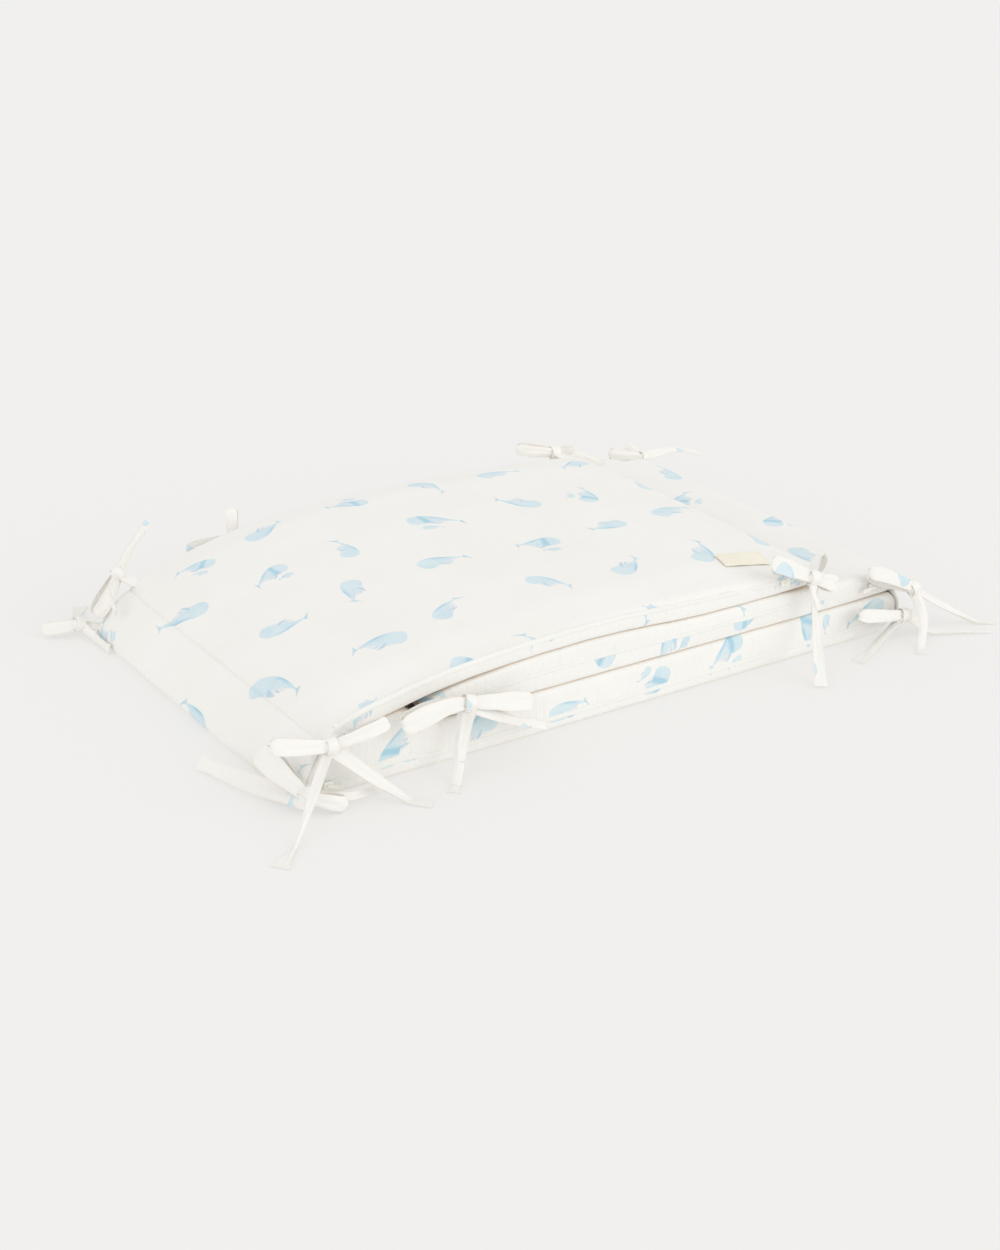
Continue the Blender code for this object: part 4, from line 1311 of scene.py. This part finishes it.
# A loop's tip is given from its knot; a tail's way and end are too, but for their heights.
loopColumns = ("tie", "tip", "open", "width", "lean", "arch")
loopTable = (
    ("top_front_left", (-0.0430, 0.0100, 0.0070), 0.010, 0.0130, 20.0),
    ("top_front_left", (0.0457, -0.0050, 0.0097), 0.005, 0.0110, -12.0),
    ("top_front_right", (-0.0400, 0.0080, 0.0190), 0.006, 0.0155, 30.0),
    ("top_front_right", (0.0242, -0.0030, -0.0107), 0.008, 0.0140, -20.0),
    ("top_front_right", (0.0250, 0.0170, 0.0090), 0.010, 0.0100, 60.0),
    ("top_back_left", (-0.0300, -0.0170, -0.0260), 0.010, 0.0130, 25.0),
    ("top_back_right", (-0.0425, 0.0050, 0.0098), 0.010, 0.0120, 0.0),
    ("top_back_right", (0.0288, 0.0090, -0.0060), 0.008, 0.0110, 10.0),
    ("middle_front_left", (-0.0620, -0.0060, 0.0000), 0.009, 0.0160, 15.0, 0.0036),
    ("middle_front_left", (0.0560, -0.0030, -0.0120), 0.006, 0.0150, -25.0),
    ("middle_front_right", (-0.0519, 0.0040, 0.0238), 0.014, 0.0130, 30.0),
    ("middle_back_left", (0.0040, 0.0090, 0.0250), 0.008, 0.0110, 80.0),
    ("middle_back_left", (-0.0420, 0.0080, -0.0060), 0.010, 0.0120, 10.0),
    ("middle_back_right", (-0.0375, 0.0060, 0.0094), 0.009, 0.0120, 10.0),
    ("middle_back_right", (-0.0120, 0.0120, 0.0110), 0.008, 0.0110, 20.0),
    ("bottom_front_left", (-0.0160, 0.0420, 0.0230), 0.006, 0.0185, 22.0),
    ("bottom_front_left", (0.0270, -0.0100, -0.0090), 0.008, 0.0120, -10.0),
    ("bottom_front_right", (-0.0571, -0.0035, 0.0138), 0.010, 0.0115, 15.0),
    ("bottom_front_right", (0.0300, 0.0030, -0.0090), 0.008, 0.0120, -20.0),
    ("bottom_back_left", (-0.0285, 0.0165, -0.0055), 0.008, 0.0110, 20.0),
    ("bottom_back_right", (-0.0380, 0.0090, -0.0050), 0.009, 0.0120, 10.0),
    ("bottom_back_right", (0.0350, 0.0080, -0.0060), 0.009, 0.0120, 10.0),
)
limbColumns = ("along", "short", "apart", "spread")
limbTable = (
    (0.00, 0.0, 0.25, 0.0),
    (0.30, 0.0, 0.72, 0.5),
    (0.66, 0.0, 1.00, 1.0),
    (0.93, 0.10, 0.60, 1.0),
    (1.00, 0.0, 0.00, 0.9),
)
tailColumns = ("tie", "way", "end", "knotWidth", "endWidth", "knotLean", "endLean", "pinch", "pinchAt")
tailPinch = (0.26, 0.60)
tailTable = (
    ("top_front_left", (-0.0228, -0.0160, 0.0267), (-0.0746, -0.0582, 0.0011),
     0.0090, 0.0120, 10.0, 0.0, 0.62, 0.60),
    ("top_front_left", (0.0290, -0.0080, 0.0210), (0.0640, -0.0380, 0.0011), 0.0128, 0.0110, 66.0, 0.0),
    ("top_front_right", (0.0007, -0.0060, 0.0432), (-0.0235, -0.0440, 0.0022),
     0.0092, 0.0092, 10.0, 0.0, 0.50, 0.34),
    ("top_front_right", (-0.0040, -0.0060, 0.0690), (-0.0015, -0.0120, 0.0560), 0.0080, 0.0050, 40.0, 60.0),
    ("top_back_left", (0.0200, 0.0190, 0.0610), (0.0520, 0.0470, 0.0728), 0.0090, 0.0080, 60.0, 60.0),
    ("top_back_left", (-0.0160, -0.0180, 0.0480), (-0.0215, -0.0430, 0.0340), 0.0080, 0.0070, 70.0, 80.0),
    ("top_back_right", (0.0340, 0.0090, 0.0690), (0.0675, 0.0060, 0.0512), 0.0090, 0.0090, 60.0, 70.0),
    ("top_back_right", (-0.0050, 0.0120, 0.0400), (-0.0160, 0.0460, 0.0011), 0.0100, 0.0110, 10.0, 0.0),
    ("middle_front_left", (-0.0120, -0.0080, 0.0270), (-0.0340, -0.0320, 0.0011), 0.0140, 0.0090, 15.0, 0.0),
    ("middle_front_left", (0.0340, -0.0050, 0.0330), (0.0710, -0.0020, 0.0160), 0.0150, 0.0060, 60.0, 60.0),
    ("middle_front_right", (-0.0010, -0.0165, 0.0220), (-0.0240, -0.0410, 0.0011), 0.0100, 0.0095, 15.0, 0.0),
    ("middle_front_right", (0.0430, -0.0080, 0.0150), (0.0820, -0.0250, 0.0011), 0.0100, 0.0080, 40.0, 10.0),
    ("middle_back_left", (-0.0100, 0.0120, 0.0300), (-0.0280, 0.0480, 0.0011), 0.0100, 0.0110, 10.0, 0.0),
    ("middle_back_left", (0.0220, 0.0110, 0.0330), (0.0450, 0.0360, 0.0011), 0.0100, 0.0110, 20.0, 0.0),
    ("middle_back_right", (0.0540, 0.0180, 0.0470), (0.1120, 0.0460, 0.0260), 0.0090, 0.0080, 50.0, 40.0),
    ("middle_back_right", (0.0030, 0.0220, 0.0240), (0.0060, 0.0560, 0.0011), 0.0100, 0.0110, 20.0, 0.0),
    ("bottom_front_left", (-0.0170, 0.0460, 0.0085), (-0.0343, 0.1070, 0.0060),
     0.0185, 0.0105, -60.0, -45.0, 0.05, 0.60),
    ("bottom_front_left", (0.0330, -0.0050, 0.0080), (0.0700, 0.0020, 0.0040), 0.0090, 0.0070, 60.0, 60.0),
    ("bottom_front_right", (-0.0340, -0.0080, 0.0080), (-0.0750, -0.0240, 0.0011), 0.0110, 0.0110, 30.0, 0.0),
    ("bottom_front_right", (0.0200, -0.0140, 0.0050), (0.0720, -0.0378, 0.0011), 0.0110, 0.0080, 20.0, 0.0),
    ("bottom_back_left", (0.0050, -0.0230, 0.0060), (0.0060, -0.0480, 0.0050), 0.0090, 0.0080, 80.0, 80.0),
    ("bottom_back_left", (0.0080, 0.0260, 0.0060), (0.0250, 0.0600, 0.0011), 0.0110, 0.0120, 10.0, 0.0),
    ("bottom_back_right", (-0.0080, 0.0250, 0.0070), (-0.0180, 0.0620, 0.0011), 0.0110, 0.0120, 10.0, 0.0),
    ("bottom_back_right", (0.0280, 0.0220, 0.0070), (0.0620, 0.0450, 0.0011), 0.0110, 0.0110, 10.0, 0.0),
)


def dip(distance, reach):
    return math.exp(-((distance / reach) ** 2))


def tailWidth(pinch, pinchAt, share):
    flare = max(0.0, (share - bow["flareFrom"]) / (1.0 - bow["flareFrom"]))
    return 1.0 - pinch * dip(share - pinchAt, bow["pinchReach"]) + bow["flare"] * flare


def loopWidth(share):
    return 1.0 - bow["tipTaper"] * dip(share - 0.5, bow["tipReach"])


def alongNoise(name, along, seed):
    scale, spread, apart = creaseNoise[name]
    return noise.noise(Vector((along * scale, seed * spread, apart)))


def acrossNoise(name, along, share, seed):
    scale, across, spread = creaseNoise[name]
    return noise.noise(Vector((along * scale, share * across, seed * spread)))


def ribbonRing(spot, face, across, width, along, seed, creases, settled):
    # both sides of the ribbon at one place along it, kept clear of the surface
    lift = alongNoise("lift", along, seed)
    crest = bow["crestShift"] * alongNoise("crest", along, seed)
    deep = min(1.0, bow["deepGain"] * alongNoise("deep", along, seed) + bow["deepBase"])
    deep *= bow["fold"] * creases
    upper, lower = [], []
    for share in ribbonShares:
        fold = bow["foldGain"] * acrossNoise("fold", along, share, seed)
        fine = bow["fineGain"] * acrossNoise("fine", along, share, seed)
        bend = bow["cup"] * (share * share - bow["cupMiddle"]) * (bow["cupBase"] + lift) * (1.0 - settled)
        bend += bow["crease"] * creases * (fold + fine) + deep * (bow["crestHigh"] - abs(share - crest))
        side = across * (share * width / 2 * (1.0 + bow["widthWave"] * lift))
        thick = bow["thickness"] / 2 * (1.0 - bow["edgeThin"] * abs(share) ** bow["edgePower"])
        thick -= bow["lineDeep"] * dip(share - bow["lineAt"], bow["lineWide"])
        middle = spot + side + face * bend
        upper.append(middle + face * thick)
        lower.append(middle - face * thick)
    ring = upper + lower[::-1]
    rise = max(0.0, bow["clear"] - min(point.z for point in ring))
    return [point + upright * rise for point in ring]


def ribbon(bm, points, acrosses, widths, steps, seed, creased=1.0, shape=None, calm=0.0):
    # a folded ribbon along a curve, with soft creases along it; gives back its length
    last = len(points) - 1
    samples = [min(step * last / steps, last - 1e-9) for step in range(steps + 1)]
    line = [curvePoint(points, int(sample), sample - int(sample)) for sample in samples]
    rings, us, vs = [], [], []
    along = 0.0
    for number, sample in enumerate(samples):
        index = int(sample)
        t = sample - index
        run = (line[min(number + 1, steps)] - line[max(number - 1, 0)]).normalized()
        across = acrosses[index].lerp(acrosses[index + 1], t)
        across = (across - run * across.dot(run)).normalized()
        width = widths[index] + (widths[index + 1] - widths[index]) * smooth(t)
        if shape:
            width *= shape(number / steps)
        if number:
            along += (line[number] - line[number - 1]).length
        settled = max(0.0, (number / steps - bow["calmFrom"]) / (1.0 - bow["calmFrom"])) * calm
        creases = creased * (1.0 - min(bow["settle"] * settled, calm))
        rings.append(ribbonRing(line[number], run.cross(across), across, width, along, seed, creases, settled))
        us.append(along)
        sides = [share * width / 2 for share in ribbonShares]
        vs.append(sides + [side + printed["cell"] for side in reversed(sides)] + [-width / 2])
    part, table = gridOver(rings)
    # painted shade: the fold attribute gives each ribbon a little brownish, darker colour, much more at its
    # edges
    fold = part.verts.layers.float["fold"]
    around = [*ribbonShares, *reversed(ribbonShares), ribbonShares[0]]
    for verts in table:
        for share, vert in zip(around, verts):
            vert[fold] = bow["warm"] + bow["paintedShadeEdge"] * abs(share) ** bow["paintedShadePower"]
    # cut near a border between the print's cells, so that only tips of its motifs show
    cutU, cutV = [(seed * share) % 1.0 for share in bow["cutShares"]]
    shift = (cutU, printed["cell"] * (steps * 2 + bow["printAside"] * (cutV - 0.5)))
    clothMap(part, table, us, vs, lambda face: shift)
    sewShut(part, table)
    mesh = bpy.data.meshes.new("ribbonPart")
    part.to_mesh(mesh)
    part.free()
    bm.from_mesh(mesh)
    bpy.data.meshes.remove(mesh)
    return along


def bowLoop(bm, knot, row, seed):
    # out along one limb to the tip and back along the other
    tip = Vector(row["tip"])
    length = tip.length
    run = tip / length
    level = upright.cross(run).normalized()
    lean = Matrix.Rotation(math.radians(row["lean"]), 3, run)
    across, apart = lean @ run.cross(level), lean @ level
    half = row["open"] / 2
    shape = rows(limbColumns, limbTable)
    limbs = [(limb, 1.0) for limb in shape] + [(limb, -1.0) for limb in reversed(shape[:-1])]
    points, widths = [], []
    for limb, side in limbs:
        along = run * (limb["along"] * length - limb["short"] * half)
        arch = row["arch"] * math.sin(math.pi * min(limb["along"] * bow["archAlong"], 1.0))
        points.append(knot + along + apart * (half * limb["apart"] * side) + upright * arch)
        widths.append(bow["knotWidth"] + (row["width"] - bow["knotWidth"]) * limb["spread"])
    return ribbon(
        bm, points, [across] * len(points), widths, bow["loopSteps"], seed,
        creased=bow["loopCreased"], shape=loopWidth,
    )


def bowTail(bm, knot, row, seed):
    # from the knot over one point to its end, which may lie on the surface
    way, end = [Vector((knot.x + x, knot.y + y, z)) for x, y, z in (row["way"], row["end"])]
    lying = row["end"][2] <= bow["floorHeight"]
    points = [knot.copy(), way]
    if lying:
        touch = way.lerp(end, bow["touchShare"])
        touch.z = bow["floorHeight"] + bow["touchRise"]
        points.append(touch)
    points.append(end)
    heading = end - knot
    heading.z = 0.0
    level = upright.cross(heading.normalized())
    acrosses, widths = [], []
    for index in range(len(points)):
        share = index / (len(points) - 1)
        lean = math.radians(row["knotLean"] + (row["endLean"] - row["knotLean"]) * share)
        if lying and index >= 2:
            lean = 0.0
        acrosses.append(level * math.cos(lean) + upright * math.sin(lean))
        widths.append(row["knotWidth"] + (row["endWidth"] - row["knotWidth"]) * share)
    return ribbon(
        bm, points, acrosses, widths, bow["tailSteps"], seed,
        shape=partial(tailWidth, row["pinch"], row["pinchAt"]), calm=bow["calm"],
    )


def bowKnot(bm, knot, seed):
    # the core, and the ribbon's pass round it
    across, down = bow["knotSteps"]
    core = bmesh.ops.create_uvsphere(bm, u_segments=across, v_segments=down, radius=0.5)["verts"]
    for vert in core:
        vert.co = Vector([part * size for part, size in zip(vert.co, bow["knotSize"])]) + knot
    tiltWave, swingWave = [math.sin(seed * factor) for factor in bow["tiltSeeds"]]
    tilt = Matrix.Rotation(math.radians(bow["tilt"] * tiltWave), 3, "Y")
    tilt = tilt @ Matrix.Rotation(bow["swing"] * swingWave, 3, "Z")
    radiusY, radiusZ = bow["wrapRadii"]
    points, widths = [], []
    for step in range(bow["wrapPoints"]):
        angle = math.radians(bow["wrapStart"] + bow["wrapTurn"] * step)
        points.append(knot + tilt @ Vector((0.0, radiusY * math.cos(angle), radiusZ * math.sin(angle))))
        wave = bow["wrapWave"] * math.sin(angle * 2.0 + seed)
        widths.append(bow["wrapWidth"] * (1.0 - bow["wrapWave"] + wave))
    acrosses = [tilt @ Vector((1.0, 0.0, 0.0))] * len(points)
    return ribbon(
        bm, points, acrosses, widths, bow["wrapSteps"], seed + bow["wrapSeed"], creased=bow["wrapCreased"],
    )


def buildBow(row, number):
    knot, root = Vector(row["knot"]), Vector(row["root"])
    bm = bmesh.new()
    seed = number * 10.0
    width = bow["rootWidth"]
    length = bowKnot(bm, knot, seed)
    length += ribbon(
        bm, [knot, knot.lerp(root, 0.5), root], [Vector((1.0, 0.0, 0.0))] * 3,
        [width * bow["rootNarrow"], width, width], bow["rootSteps"], seed,
    )
    ends = [(bowLoop, end) for end in rows(loopColumns, loopTable, (0.0,))]
    ends += [(bowTail, end) for end in rows(tailColumns, tailTable, tailPinch)]
    for build, end in ends:
        if end["tie"] == row["name"]:
            seed += 1.0
            length += build(bm, knot, end, seed)
    words = row["name"].split("_")
    made = addPiece("bow" + "".join(word.capitalize() for word in words), bm, cotton)
    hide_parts("tie_" + row["name"])
    return made, length


bows = [buildBow(row, number) for number, row in enumerate(rows(tieColumns, tieTable))]
print("bows built")

for piece in (padding, labelPiece, labelStitches, *trims, *sliders, *[made for made, length in bows]):
    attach(piece, "root")
